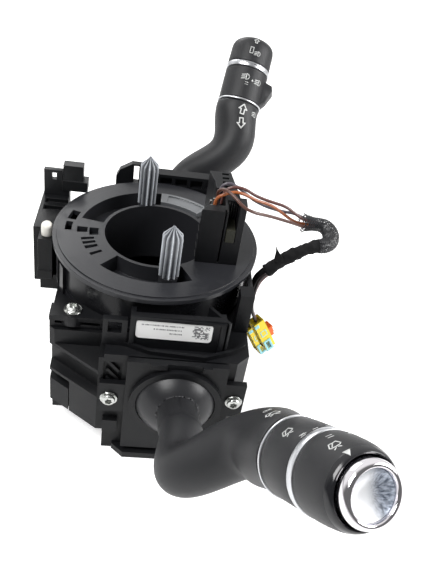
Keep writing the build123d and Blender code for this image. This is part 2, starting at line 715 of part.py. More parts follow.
with BuildPart() as connector_tower:
    prism(tower_outline, flange_top, tower_top)
    # the right bay is open to the front above the contact piece
    block((tower_split + tower_split_w, tower_right - tower_wall), (tower_front - 1, bay_back),
          (flange_top + contact_rise, tower_top + 1), Mode.SUBTRACT)
    # narrow gap between the two halves
    block((tower_split - tower_split_w, tower_split), (tower_front - 1, tower_front + 2),
          (flange_top + 1, tower_top + 1), Mode.SUBTRACT)
    # the right wall stands above the rest
    block((tower_right - tower_wall - 1, tower_right), (tower_front, tower_front + 7),
          (flange_top, flange_top + tower_wall_h))
    # pocket that the wires leave through
    block(wire_pocket_x, wire_pocket_y, (exit_z, tower_top + 1), Mode.SUBTRACT)
    # rows of contact slots in the back of the top
    for row in range(slot_rows):
        slot_y = tower_back - 3.0 - slot_pitch * row
        block((31.0, 34.6), (slot_y, slot_y + 1.6), (tower_top - pocket_d, tower_top + 1), Mode.SUBTRACT)
write(connector_tower.part, "connector_tower")

with BuildPart() as tower_contact:
    block((tower_split + tower_split_w + seat_gap, tower_right - tower_wall - 1 - seat_gap),
          (tower_front - 0.6, bay_back - seat_gap),
          (flange_top + contact_rise, flange_top + contact_rise + contact_h))
write(tower_contact.part, "tower_contact")

with BuildPart() as centring_window:
    window_outer = annulus_r - seat_gap
    window_inner = window_outer - window_w
    window_top = flange_top + window_proud
    sector(window_inner, window_outer, *window_span, trough_floor_z, window_top)
    sector(window_inner + window_frame, window_outer - window_frame, window_span[0] + 3, window_span[1] - 6,
           window_top - window_d, window_top + 1, Mode.SUBTRACT)
write(centring_window.part, "centring_window")

# ================================================================ side pod

with BuildPart() as side_pod:
    block((pod_left, pod_right), (pod_front, pod_back), (pod_bottom, pod_top))
    block((header_left + seat_gap, pod_right), (header_front + 4, pod_front),
          (pod_bottom, header_bottom - seat_gap))
    block((pod_right - 1, -housing_left), (header_front + 4, pod_back - 4), (pod_bottom, deck_z))
    # slots across the top
    for low, high in pod_slot_y:
        block((pod_left + pod_wall, pod_right + 1), (low, high), (pod_top - pod_slot_d, pod_top + 1),
              Mode.SUBTRACT)
write(side_pod.part, "side_pod")

with BuildPart() as pod_connector:
    block(hood_x, hood_y, (pod_top, pod_top + hood_h))
    block(riser_x, riser_y, (pod_top + sill_rise[0], pod_top + riser_h))
    block(sill_x, sill_y, (pod_top + sill_rise[0], pod_top + sill_rise[1]))
    block((hood_x[0], pod_right), hood_y, (pod_top, pod_top + sill_rise[1]))
    hole_x = sum(hood_x) / 2 + 0.5
    block((hole_x - hood_hole[0] / 2, hole_x + hood_hole[0] / 2), (hood_y[0] - 1, hood_y[1] + 1),
          (pod_top + hood_hole_rise - hood_hole[1] / 2, pod_top + hood_hole_rise + hood_hole[1] / 2),
          Mode.SUBTRACT)
write(pod_connector.part, "pod_connector")

with BuildPart() as pod_header:
    block((header_left, header_right), (header_front, pod_front), (header_bottom, pod_top))
    block((header_left - 0.6, header_right), (header_front - 0.6, pod_front),
          (header_bottom, header_bottom + 5))
    with Locations((peg_x, peg_y, pod_top)):
        Cylinder(peg_r + running_fit, 4, mode=Mode.SUBTRACT)
write(pod_header.part, "pod_header")

with BuildPart() as pod_peg:
    with Locations((peg_x, peg_y, pod_top - 2 + peg_h / 2)):
        Cylinder(peg_r, peg_h)
    with Locations((peg_x, peg_y, pod_top - 2 + peg_h)):
        Sphere(peg_r)
write(pod_peg.part, "pod_peg")

# ================================================================ stalk modules


def wall_screw(side, x, y, z):
    """Flanged screw driven inwards through an ear, with its head outside."""
    outward = (0, side, 0)
    with BuildPart() as screw:
        with BuildSketch(Plane((x, side * y, z), x_dir=(1, 0, 0), z_dir=outward)):
            Circle(screw_flange_r)
        extrude(amount=screw_flange_t)
        with BuildSketch(Plane((x, side * (y + screw_flange_t), z), x_dir=(1, 0, 0), z_dir=outward)):
            Circle(screw_head_r)
        extrude(amount=screw_head_h, taper=12)
        with BuildSketch(Plane((x, side * y, z), x_dir=(1, 0, 0), z_dir=(0, -side, 0))):
            Circle(screw_r)
        extrude(amount=screw_len)
    return screw.part


def lathe(plane, profile):
    """A body turned about the plane's normal, from (distance along it, radius) pairs."""
    with BuildPart() as turned:
        with BuildSketch(Plane(plane.origin, x_dir=plane.z_dir, z_dir=plane.x_dir)):
            with BuildLine():
                Polyline(*profile, profile[0])
            make_face()
        revolve(axis=Axis(plane.origin, plane.z_dir))
    return turned.part


def switch_case(side):
    """Slide-in module: front plate with its screw ears, and the chamber the stalk swings in."""
    ear_y = reach(side, housing_half_y, housing_half_y + ear_t)
    with BuildPart() as case:
        block((case_left, case_right), reach(side, case_back, plate_back),
              (case_bottom, housing_h - seat_gap))
        block((plate_left, plate_right), reach(side, plate_back, plate_front), (plate_bottom, plate_top))
        block((ear_left, plate_left), ear_y, ear_left_z)
        block((case_right, ear_right), ear_y, ear_right_z)
        block((plate_left, case_left), reach(side, housing_half_y, plate_back), ear_left_z)
        # small tabs at the plate's upper edge
        for x in tab_x:
            block(x, reach(side, plate_front, plate_front + tab_t), (plate_top - tab_drop, plate_top))
        bore_start = pivot_y + boot_floor
        with Locations(Location((pivot_x, side * (plate_front + 1 + bore_start) / 2, pivot_z), (90, 0, 0))):
            Cylinder(boot_r + sweep_gap, plate_front + 1 - bore_start, mode=Mode.SUBTRACT)
        block((pivot_x - pocket_half_x, pivot_x + pocket_half_x), reach(side, pocket_back, pivot_y + 3),
              (pivot_z - pocket_half_z, pivot_z + pocket_half_z), Mode.SUBTRACT)
        with Locations((pivot_x, side * pivot_y, pivot_z)):
            Cylinder(trunnion_r + running_fit, 2 * (trunnion_end + sweep_gap), mode=Mode.SUBTRACT)
        with Locations([Location((x, side * housing_half_y, z), (90, 0, 0)) for x, z in case_screws]):
            Cylinder(screw_r + running_fit, 12, mode=Mode.SUBTRACT)
    return case.part


def boot_bezel(side):
    """Round bezel on the plate; its lip is hollowed to the sweep of the ball boot."""
    with BuildPart() as bezel:
        with BuildSketch(Plane((pivot_x, side * plate_front, pivot_z), x_dir=(1, 0, 0), z_dir=(0, side, 0))):
            Circle(bezel_r)
        extrude(amount=bezel_t)
        with Locations((pivot_x, side * pivot_y, pivot_z)):
            Sphere(boot_r + sweep_gap, mode=Mode.SUBTRACT)
    return bezel.part


def ball_boot(side, neck):
    """Hollow ball segment round the neck of the arm."""
    with BuildPart() as boot:
        with Locations((pivot_x, side * pivot_y, pivot_z)):
            Sphere(boot_r)
        with Locations((pivot_x, side * pivot_y, pivot_z)):
            Sphere(boot_r - boot_t, mode=Mode.SUBTRACT)
        with Locations((pivot_x, side * (pivot_y + boot_back - boot_r * 1.5), pivot_z)):
            Box(3 * boot_r, 3 * boot_r, 3 * boot_r, mode=Mode.SUBTRACT)
        with BuildSketch(neck):
            Circle(neck_r + running_fit)
        extrude(amount=2 * boot_r, mode=Mode.SUBTRACT)
    return boot.part


def stalk_arm(side, shape, neck, barrel, core_len):
    """Arm from the yoke tongue to the end of the core tube that carries the barrels."""
    pivot = neck.origin
    first = neck.z_dir
    knee = pivot + outwards(side, shape["elbow"])
    hip = pivot + outwards(side, shape["shoulder"])
    second = (hip - knee).normalized()
    third = barrel.z_dir
    stations = (
        (pivot + first * neck_end, first, neck_r),
        (pivot + first * (neck_end + 10), first, neck_r + 0.4),
        (knee, (first + second).normalized(), elbow_r),
        (knee + (hip - knee) * 0.5, second, waist_r),
        (hip, (second + third).normalized(), shape["shoulder_r"]),
        (barrel.origin - third * 8, third, barrel_r - 0.1),
        (barrel.origin - third * ring_t / 2, third, barrel_r),
    )
    with BuildPart() as arm:
        for centre, normal, radius in stations:
            with BuildSketch(Plane(centre, x_dir=Vector(0, side, 0).cross(normal), z_dir=normal)):
                Circle(radius)
        loft()
        with BuildSketch(neck.offset(neck_start)):
            Circle(neck_r)
        extrude(amount=neck_end - neck_start)
        # tongue that the yoke carries, with its pin hole
        block((pivot_x - tongue_half_x, pivot_x + tongue_half_x),
              reach(side, pivot_y - tongue_tail, pivot_y + tongue_front),
              (pivot_z - tongue_half_z, pivot_z + tongue_half_z))
        with Locations(Location(tuple(pivot), (0, 90, 0))):
            Cylinder(pivot_pin_r + running_fit, 30, mode=Mode.SUBTRACT)
        with Locations(Location((pivot_x, side * (pivot_y - tongue_tail), pivot_z), (90, 0, 0))):
            Cylinder(plunger_r + running_fit, 9.0, mode=Mode.SUBTRACT)
        # core tube
        with BuildSketch(barrel.offset(-ring_t)):
            Circle(core_r)
        extrude(amount=ring_t + core_len)
    return arm.part


def yoke(side):
    """Frame that turns on its trunnions in the case and carries the tongue's pin."""
    with BuildPart() as frame:
        with Locations((pivot_x, side * pivot_y, pivot_z)):
            Box(2 * yoke_half_x, yoke_t, 2 * yoke_half_z)
            Box(2 * (tongue_half_x + sweep_gap), yoke_t + 1, 2 * yoke_window_z, mode=Mode.SUBTRACT)
        for end in (-1, 1):
            with Locations((pivot_x, side * pivot_y, pivot_z + end * (yoke_half_z + trunnion_end) / 2)):
                Cylinder(trunnion_r, trunnion_end - yoke_half_z)
        with Locations(Location((pivot_x, side * pivot_y, pivot_z), (0, 90, 0))):
            Cylinder(pivot_pin_r, 30, mode=Mode.SUBTRACT)
    return frame.part


def pivot_pin(side):
    """Steel pin along X through the yoke and the tongue."""
    with BuildPart() as pin:
        with Locations(Location((pivot_x, side * pivot_y, pivot_z), (0, 90, 0))):
            Cylinder(pivot_pin_r, 2 * yoke_half_x)
    return pin.part


def detent_plunger(side):
    """Plunger in the tongue's tail; its round tip rides in the detent block."""
    inner = pivot_y - plunger_reach + plunger_r
    outer = pivot_y - plunger_seat
    with BuildPart() as plunger:
        with Locations(Location((pivot_x, side * (inner + outer) / 2, pivot_z), (90, 0, 0))):
            Cylinder(plunger_r, outer - inner)
        with Locations((pivot_x, side * inner, pivot_z)):
            Sphere(plunger_r)
    return plunger.part


def detent_block(side):
    """Block with the hollow track that the plunger tip runs in."""
    with BuildPart() as track:
        block((pivot_x - detent_half, pivot_x + detent_half),
              reach(side, pocket_back, pocket_back + detent_t),
              (pivot_z - detent_half, pivot_z + detent_half))
        with Locations((pivot_x, side * pivot_y, pivot_z)):
            Sphere(plunger_reach + sweep_gap, mode=Mode.SUBTRACT)
    return track.part


def sleeve(plane, start, length, radius, bore):
    """Ring or barrel round the core tube, with its outer edges eased."""
    end = start + length
    ease = min(edge_round, length / 3)
    return lathe(plane, [(start, bore), (start, radius - ease), (start + ease, radius), (end - ease, radius),
                         (end, radius - ease), (end, bore)])


def thumb_barrel(plane, start, length):
    """Rotary barrel with a thumb lug on its right side."""
    lug = [(start + 1, core_r + 2), (start + 1, barrel_r), (start + 4, lug_reach - lug_slope),
           (start + lug_len - 3, lug_reach), (start + lug_len, lug_reach - 1),
           (start + lug_len + 2, barrel_r - 1),
           (start + lug_len + 2, core_r + 2)]
    with BuildPart() as tube:
        add(sleeve(plane, start, length, barrel_r, core_r + running_fit))
        across = Plane(plane.origin, x_dir=plane.z_dir, z_dir=plane.z_dir.cross(plane.x_dir))
        with BuildSketch(across) as flat:
            with BuildLine():
                Polyline(*lug, lug[0])
            make_face()
        extrude(to_extrude=flat.sketch, amount=lug_half, both=True)
    return tube.part


def wiper_end(plane, start, length):
    """End barrel with the recess that the push button sits in."""
    end = start + length
    bore = core_r + running_fit
    stem_bore = button_stem_r + running_fit
    web = start + end_bore
    recess = end - button_recess
    return lathe(plane, [(start, bore), (start, barrel_r - edge_round), (start + edge_round, barrel_r),
                         (start + length * 0.6, barrel_r - 0.3), (end - 1, end_r), (end, end_r - 0.7),
                         (end, button_recess_r), (recess, button_recess_r), (recess, stem_bore),
                         (web, stem_bore), (web, bore)])


def light_end(plane, start, length):
    """End barrel closed by a rounded end."""
    bore = core_r + running_fit
    web = start + end_bore
    shoulder = start + 0.35 * length
    tip = start + length
    with BuildPart() as tube:
        with BuildSketch(Plane(plane.origin, x_dir=plane.z_dir, z_dir=plane.x_dir)):
            with BuildLine():
                Polyline((web, 0), (web, bore), (start, bore), (start, barrel_r - edge_round),
                         (start + edge_round, barrel_r), (shoulder, barrel_r - 0.2))
                Spline((shoulder, barrel_r - 0.2), (start + 0.8 * length, barrel_r * 0.84),
                       (tip - 1.4, barrel_r * 0.5), (tip, 0), tangents=((1, 0), (0, -1)))
                Line((tip, 0), (web, 0))
            make_face()
        revolve(axis=Axis(plane.origin, plane.z_dir))
    return tube.part


for stalk, side in (("wiper", -1), ("light", 1)):
    shape = stalks[stalk]
    centre = outwards(side, (pivot_x, pivot_y, pivot_z))
    neck = Plane(centre, x_dir=(1, 0, 0), z_dir=outwards(side, shape["elbow"]).normalized())
    axis_dir = outwards(side, shape["axis"]).normalized()
    right = Vector(0, 0, 1).cross(axis_dir) * -side
    barrel = Plane(centre + outwards(side, shape["ring"]), x_dir=right, z_dir=axis_dir)
    mid_len = shape["mid_len"]
    end_len = shape["end_len"]
    mid_start = ring_t + seat_gap
    band_start = mid_start + mid_len
    end_start = band_start + band_t + seat_gap
    core_len = end_start + end_bore - button_travel - 2 * seat_gap
    write(switch_case(side), f"{stalk}_switch_case")
    write(boot_bezel(side), f"{stalk}_bezel")
    write(ball_boot(side, neck), f"{stalk}_boot")
    write(stalk_arm(side, shape, neck, barrel, core_len), f"{stalk}_arm")
    write(yoke(side), f"{stalk}_yoke")
    write(pivot_pin(side), f"{stalk}_pivot_pin")
    write(detent_plunger(side), f"{stalk}_detent_plunger")
    write(detent_block(side), f"{stalk}_detent_block")
    screws = [wall_screw(side, x, housing_half_y + ear_t, z) for x, z in case_screws]
    write(Compound(children=screws), f"{stalk}_case_screws")
    write(sleeve(barrel, 0, ring_t, ring_r, core_r + running_fit), f"{stalk}_thin_ring")
    write(sleeve(barrel, band_start, band_t, band_r, core_r + running_fit), f"{stalk}_band")
    if stalk == "wiper":
        barrel_part = sleeve(barrel, mid_start, mid_len - seat_gap, barrel_r, core_r + running_fit)
        write(barrel_part, "wiper_speed_barrel")
        write(wiper_end(barrel, end_start, end_len), "wiper_end_barrel")
        rim = end_start + end_len
        ring_back = rim - button_recess + button_travel + seat_gap
        ring_front = rim + button_proud
        button_ring = lathe(barrel, [(ring_back, button_cap_r), (ring_back, button_r),
                                     (ring_front - button_round, button_r),
                                     (ring_front - button_round * 0.3, button_r - button_round * 0.3),
                                     (ring_front, button_r - button_round), (ring_front, button_cap_r)])
        write(button_ring, "wiper_button_ring")
        with BuildPart() as button_cap:
            with BuildSketch(barrel.offset(ring_back)):
                Circle(button_cap_r)
            extrude(amount=ring_front - button_dish - ring_back)
            with BuildSketch(barrel.offset(end_start + end_bore + seat_gap)):
                Circle(button_stem_r)
            extrude(amount=ring_back - end_start - end_bore - seat_gap)
            with Locations(barrel.offset(ring_front - 2 * button_dish + button_dish_r)):
                Sphere(button_dish_r, mode=Mode.SUBTRACT)
        write(button_cap.part, "wiper_button_cap")
    else:
        write(thumb_barrel(barrel, mid_start, mid_len - seat_gap), "light_fog_barrel")
        write(light_end(barrel, end_start, end_len), "light_end_barrel")

with BuildPart() as cover_screws:
    for side in (-1, 1):
        with Locations((cover_screw_x, side * cover_screw_y, deck_z + tray_h + screw_flange_t / 2)):
            Cylinder(screw_flange_r, screw_flange_t)
        with Locations((cover_screw_x, side * cover_screw_y,
                        deck_z + tray_h + screw_flange_t + screw_head_h / 2)):
            Cylinder(screw_head_r, screw_head_h)
write(cover_screws.part, "cover_screws")


# ================================================================ harness


def corner_radii(points):
    """Largest arc that each corner's two runs allow, with a little of every run left straight."""
    radii = []
    for before, corner, after in zip(points, points[1:], points[2:]):
        arriving = Vector(*corner) - Vector(*before)
        leaving = Vector(*after) - Vector(*corner)
        half_turn = radians(arriving.get_angle(leaving)) / 2
        radii.append(0.45 * min(arriving.length, leaving.length) / tan(half_turn))
    return radii


def cord(points, radius, label):
    """A round cord along straight runs joined by tangent arcs."""
    radii = corner_radii(points)
    with BuildPart() as tube:
        with BuildLine():
            path = FilletPolyline(*points, radius=radii)
        with BuildSketch(Plane(path @ 0, z_dir=path % 0)):
            Circle(radius)
        sweep(path=path)
    expected = pi * radius**2 * path.length
    print(f"{label}: length {path.length:.1f}, volume ratio {tube.part.volume / expected:.4f}, "
          f"tightest bend {min(radii) / (2 * radius):.1f} diameters")
    write(tube.part, label)


for label, route in wire_routes.items():
    cord(route, wire_r, label)
cord(sleeving_route, sleeving_r, "harness_sleeving")
cord(lead_tube_route, lead_tube_r, "lead_tube")
for label, route in lead_wire_routes.items():
    cord(route, lead_wire_r, label)

with BuildPart() as squib_plugs:
    for point in plug_ends:
        with BuildSketch(Plane(point, x_dir=(0, 1, 0), z_dir=plug_dir)) as face:
            Rectangle(plug_t, plug_w)
        extrude(to_extrude=face.sketch, amount=plug_len)
write(squib_plugs.part, "squib_plugs")
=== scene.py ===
"""Combination stalk switch: finishes, harness and small parts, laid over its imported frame."""
import json
import random
from math import cos, pi, radians, sin

import bmesh
import bpy
from mathutils import Matrix, Vector


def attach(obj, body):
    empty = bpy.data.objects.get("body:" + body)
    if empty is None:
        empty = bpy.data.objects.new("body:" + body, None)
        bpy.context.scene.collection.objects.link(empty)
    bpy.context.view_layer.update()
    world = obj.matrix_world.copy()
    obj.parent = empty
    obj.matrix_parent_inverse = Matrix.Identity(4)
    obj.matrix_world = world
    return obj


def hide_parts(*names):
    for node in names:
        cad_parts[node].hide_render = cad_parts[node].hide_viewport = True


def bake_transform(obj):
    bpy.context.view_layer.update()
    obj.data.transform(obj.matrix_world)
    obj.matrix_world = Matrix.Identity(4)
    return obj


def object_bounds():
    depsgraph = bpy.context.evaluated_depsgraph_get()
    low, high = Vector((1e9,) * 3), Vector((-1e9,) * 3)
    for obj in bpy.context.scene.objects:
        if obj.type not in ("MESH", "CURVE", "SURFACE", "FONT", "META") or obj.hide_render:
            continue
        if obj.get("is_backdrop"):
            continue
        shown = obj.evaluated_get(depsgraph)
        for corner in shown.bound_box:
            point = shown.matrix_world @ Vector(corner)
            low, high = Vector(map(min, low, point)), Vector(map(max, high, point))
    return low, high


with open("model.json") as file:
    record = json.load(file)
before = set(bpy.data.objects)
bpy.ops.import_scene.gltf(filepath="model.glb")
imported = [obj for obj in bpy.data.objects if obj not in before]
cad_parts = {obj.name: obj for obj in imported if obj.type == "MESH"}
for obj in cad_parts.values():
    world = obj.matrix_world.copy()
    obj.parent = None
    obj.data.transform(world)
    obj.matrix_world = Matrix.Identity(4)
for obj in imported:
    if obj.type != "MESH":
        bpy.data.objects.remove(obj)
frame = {"nodes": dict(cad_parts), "record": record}
nodes = frame["nodes"]
cad_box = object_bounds()
bpy.ops.object.select_all(action="DESELECT")

# ---------------------------------------------------------------- studio
# A pale floor under the column face, a white room, and three soft boxes.
# The camera looks down on the switch from the driver's left shoulder.
camera_place = (-0.008644, -0.302201, 0.303963)
camera_right = (0.98834, -0.03883, 0.14720)
camera_up = (-0.09046, 0.62790, 0.77302)
camera_back = (-0.12244, -0.77732, 0.61707)
camera_lens = 43.32
camera_sensor = 36.0
lamp_size = 0.5
lamps = (                   # place, the point it faces, and power
    ("key_lamp", (-0.45, -0.3, 0.85), (0, 0, 0.06), 9.5),
    ("right_lamp", (0.8, -0.1, 0.5), (0, 0, 0.06), 9.0),
    ("back_lamp", (-0.35, 0.8, 0.55), (0, 0, 0.08), 3.0),
)
white = (1, 1, 1, 1)
room_glow = 0.3             # what the room adds to the lamps
front_shade = 0.16          # the room is darker on the camera's side, as gloss and metal show it
shade_ends = (-0.25, 0.35)  # the room brightens between these, along Y
floor_size = 6.0
floor_drop = 0.0005
floor_tone = (0.93, 0.93, 0.93, 1)
floor_lift = 0.45           # keeps the seen floor white round its shadow


def link(thing):
    """Puts an object into the scene."""
    bpy.context.scene.collection.objects.link(thing)
    return thing


def feed(tree, node, inputs):
    """Sets a shader node's inputs, each to a value or to the output that it follows."""
    for key, value in inputs.items():
        if isinstance(value, bpy.types.NodeSocket):
            tree.links.new(value, node.inputs[key])
        else:
            node.inputs[key].default_value = value


def add_node(tree, kind, inputs=None, **settings):
    """Adds a shader node with its properties and inputs set, and gives its outputs."""
    node = tree.nodes.new("ShaderNode" + kind)
    for key, value in settings.items():
        setattr(node, key, value)
    feed(tree, node, inputs or {})
    return node.outputs


def math_node(tree, operation, *inputs):
    """The output of a Math node."""
    return add_node(tree, "Math", dict(enumerate(inputs)), operation=operation)[0]


def new_finish(name, inputs):
    """A Principled material with its shader's inputs set, its tree and its shader."""
    material = bpy.data.materials.new(name)
    material.use_nodes = True
    tree = material.node_tree
    shader = tree.nodes["Principled BSDF"]
    feed(tree, shader, inputs)
    return material, tree, shader


camera_data = bpy.data.cameras.new("camera")
camera_data.lens = camera_lens
camera_data.sensor_width = camera_sensor
camera = link(bpy.data.objects.new("camera", camera_data))
turn = Matrix((camera_right, camera_up, camera_back)).transposed()
camera.matrix_world = Matrix.Translation(camera_place) @ turn.to_4x4()
bpy.context.scene.camera = camera
bpy.context.scene.view_settings.view_transform = "Standard"

for name, place, aim, power in lamps:
    lamp = bpy.data.lights.new(name, "AREA")
    lamp.size = lamp_size
    lamp.energy = power
    holder = link(bpy.data.objects.new(name, lamp))
    holder.location = place
    holder.rotation_euler = (Vector(aim) - Vector(place)).to_track_quat("-Z", "Y").to_euler()

world = bpy.data.worlds.new("room")
bpy.context.scene.world = world
world.use_nodes = True
tree = world.node_tree
tree.nodes.clear()
direction = add_node(tree, "TexCoord")["Generated"]
backward = add_node(tree, "SeparateXYZ", {0: direction})["Y"]
shade = add_node(tree, "MapRange", {
    "Value": backward, "From Min": shade_ends[0], "From Max": shade_ends[1], "To Min": front_shade,
}, interpolation_type="SMOOTHSTEP")["Result"]
path = add_node(tree, "LightPath")
seen = math_node(tree, "MAXIMUM", path["Is Camera Ray"], path["Is Transmission Ray"])
mirrored = math_node(tree, "MAXIMUM", seen, path["Is Glossy Ray"])
shown = math_node(tree, "MAXIMUM", shade, seen)
room_light = add_node(tree, "Background", {"Color": white, "Strength": room_glow})[0]
room_seen = add_node(tree, "Background", {"Color": white, "Strength": shown})[0]
mix = add_node(tree, "MixShader", {0: mirrored, 1: room_light, 2: room_seen})[0]
add_node(tree, "OutputWorld", {"Surface": mix})

floor_paint, tree, shader = new_finish("floor_paint", {
    "Base Color": floor_tone, "Roughness": 0.9, "Specular IOR Level": 0.1, "Emission Color": white,
})
seen = add_node(tree, "LightPath")["Is Camera Ray"]
feed(tree, shader, {"Emission Strength": math_node(tree, "MULTIPLY", seen, floor_lift)})
bpy.ops.mesh.primitive_plane_add(size=floor_size, location=(0, 0, cad_box[0][2] - floor_drop))
floor = bpy.context.object
floor.name = "floor"
floor.data.materials.append(floor_paint)
floor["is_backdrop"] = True

# ---------------------------------------------------------------- airbag wires
# Four thin plastic-covered wires leave the slots in the tower's top.
# They arch over to the right.
mm = 0.001
wire_r = 0.8
wire_sides = 14
exit_z = 121.0
wire_routes = {
    "wire_brown_low": ((27.4, -9.2, exit_z), (27.4, -9.2, 126.0), (26.9, -11.4, 132.4), (29.6, -15.6, 136.2),
                       (33.8, -20.6, 135.6), (38.6, -25.2, 132.6), (44.8, -25.2, 130.2), (51.8, -20.8, 126.8),
                       (60.2, -14.4, 121.4), (68.6, -8.8, 116.2), (76.0, -2.6, 110.6), (82.5, -2.6, 110.6)),
    "wire_orange": ((26.0, -13.0, exit_z), (26.0, -13.0, 125.2), (26.8, -13.0, 129.4), (30.6, -12.8, 131.6),
                    (35.4, -12.2, 133.2), (41.2, -11.0, 131.2), (47.6, -9.0, 127.2), (55.0, -6.0, 124.2),
                    (62.4, -3.2, 118.6), (69.4, -0.6, 112.6), (76.0, 0.8, 110.2), (82.5, 0.8, 110.2)),
    "wire_violet": ((29.0, -1.2, exit_z), (29.0, -1.2, 125.0), (29.6, -1.2, 129.0), (32.6, -1.1, 131.2),
                    (36.4, -1.0, 130.2), (41.0, -0.8, 127.2), (46.4, -0.6, 122.8), (54.0, -0.1, 119.2),
                    (63.4, 0.5, 116.8), (70.4, 0.8, 116.4), (76.4, 0.4, 113.7), (82.5, 0.4, 113.7)),
    "wire_brown_high": ((30.4, -5.2, exit_z), (30.4, -5.2, 125.2), (31.4, -5.1, 129.4), (35.4, -4.9, 131.6),
                        (41.0, -4.7, 131.0), (47.4, -4.4, 127.2), (55.4, -3.9, 124.6), (64.2, -3.3, 122.4),
                        (70.6, -2.6, 117.6), (76.6, -2.2, 114.0), (82.5, -2.2, 114.0)),
}
wire_colours = {
    "wire_brown_low": (0.085, 0.036, 0.026),
    "wire_orange": (0.30, 0.085, 0.025),
    "wire_violet": (0.075, 0.065, 0.08),
    "wire_brown_high": (0.10, 0.040, 0.034),
}


def smooth_line(points):
    """Points along the NURBS curve that a cord follows, in metres."""
    data = bpy.data.curves.new("line", "CURVE")
    data.dimensions = "3D"
    data.resolution_u = 10
    spline = data.splines.new("NURBS")
    spline.points.add(len(points) - 1)
    for point, place in zip(spline.points, points):
        point.co = (*(Vector(place) * mm), 1)
    spline.order_u = 3
    spline.use_endpoint_u = True
    holder = link(bpy.data.objects.new("line", data))
    mesh = bpy.data.meshes.new_from_object(holder)
    line = [vertex.co.copy() for vertex in mesh.vertices]
    bpy.data.objects.remove(holder)
    bpy.data.meshes.remove(mesh)
    bpy.data.curves.remove(data)
    return line


def line_length(line):
    """Length of a line of points."""
    return sum((b - a).length for a, b in zip(line, line[1:]))


def line_frames(line):
    """Two crosswise directions at each point of a line, carried along without twist."""
    frames = []
    side = (line[1] - line[0]).orthogonal().normalized()
    for index in range(len(line)):
        ahead = line[min(index + 1, len(line) - 1)]
        behind = line[max(index - 1, 0)]
        forward = (ahead - behind).normalized()
        side = (side - forward * side.dot(forward)).normalized()
        frames.append((side, forward.cross(side)))
    return frames


def link_mesh(name, verts, faces, material):
    """A mesh object from points and faces."""
    mesh = bpy.data.meshes.new(name)
    mesh.from_pydata(verts, [], faces)
    mesh.materials.append(material)
    return link(bpy.data.objects.new(name, mesh))


def ring_faces(first, rings, sides):
    """The faces of a closed tube whose rings of points follow each other from a first point on."""
    faces = []
    for ring in range(rings - 1):
        for step in range(sides):
            low = first + ring * sides + step
            high = first + ring * sides + (step + 1) % sides
            faces.append((low, high, high + sides, low + sides))
    last = first + (rings - 1) * sides
    faces.append(tuple(reversed(range(first, first + sides))))
    faces.append(tuple(range(last, last + sides)))
    return faces


def tube(name, line, radius_at, sides, material):
    """A closed tube along a line; radius_at gives its radius at each share of the length and angle."""
    total = line_length(line)
    travelled = 0.0
    verts = []
    for index, (point, (side, up)) in enumerate(zip(line, line_frames(line))):
        if index:
            travelled += (point - line[index - 1]).length
        for step in range(sides):
            angle = 2 * pi * step / sides
            reach = radius_at(travelled / total, angle)
            verts.append(point + side * cos(angle) * reach + up * sin(angle) * reach)
    piece = link_mesh(name, verts, ring_faces(0, len(line), sides), material)
    for face in piece.data.polygons[:-2]:
        face.use_smooth = True
    return piece


def shader_group(name, inputs, outputs):
    """A node group with named sockets: its tree, its input values and its output node."""
    group = bpy.data.node_groups.new(name, "ShaderNodeTree")
    for way, sockets in (("INPUT", inputs), ("OUTPUT", outputs)):
        for label, kind in sockets.items():
            group.interface.new_socket(label, in_out=way, socket_type="NodeSocket" + kind)
    return group, group.nodes.new("NodeGroupInput").outputs, group.nodes.new("NodeGroupOutput")


# Moulded surface: two tones of a colour, uneven gloss, and a fine grain.
tree, entry, leave = shader_group("moulded surface", {
    "Colour": "Color", "Tone Spread": "Float", "Gloss": "Float", "Gloss Spread": "Float",
    "Grain Scale": "Float", "Grain Depth": "Float",
}, {"Colour": "Color", "Roughness": "Float", "Normal": "Vector"})
moulded_surface = tree
place = add_node(tree, "TexCoord")["Object"]
clouds = add_node(tree, "TexNoise", {"Vector": place, "Scale": 38.0, "Detail": 4.0})["Fac"]
centred = math_node(tree, "SUBTRACT", clouds, 0.5)
tone = math_node(tree, "MULTIPLY_ADD", centred, entry["Tone Spread"], 1.0)
shade = add_node(tree, "VectorMath", {0: entry["Colour"], "Scale": tone}, operation="SCALE")[0]
gloss = math_node(tree, "MULTIPLY_ADD", centred, entry["Gloss Spread"], entry["Gloss"])
grain = add_node(tree, "TexNoise", {
    "Vector": place, "Scale": entry["Grain Scale"], "Detail": 2.0,
})["Fac"]
bump = add_node(tree, "Bump", {
    "Strength": entry["Grain Depth"], "Distance": 0.0002, "Height": grain,
})["Normal"]
feed(tree, leave, {"Colour": shade, "Roughness": gloss, "Normal": bump})


def moulded(name, colour, gloss, tone_spread=0.35, gloss_spread=0.2, grain_scale=2600.0, grain_depth=0.25,
            metallic=0.0, coat=0.0, specular=0.5):
    """A moulded, painted or plated finish made with the moulded surface group."""
    material, tree, shader = new_finish(name, {
        "Metallic": metallic, "Coat Weight": coat, "Specular IOR Level": specular,
    })
    surface = add_node(tree, "Group", {
        "Colour": (*colour, 1), "Tone Spread": tone_spread, "Gloss": gloss, "Gloss Spread": gloss_spread,
        "Grain Scale": grain_scale, "Grain Depth": grain_depth,
    }, node_tree=moulded_surface)
    feed(tree, shader, {
        "Base Color": surface["Colour"], "Roughness": surface["Roughness"], "Normal": surface["Normal"],
    })
    return material


for name, route in wire_routes.items():
    line = smooth_line(route)
    cover = moulded(name + "_cover", wire_colours[name], 0.3, grain_scale=900.0, grain_depth=0.15)
    wire = tube(name + "_lead", line, lambda share, angle: wire_r * mm, wire_sides, cover)
    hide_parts(name)
    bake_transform(wire)

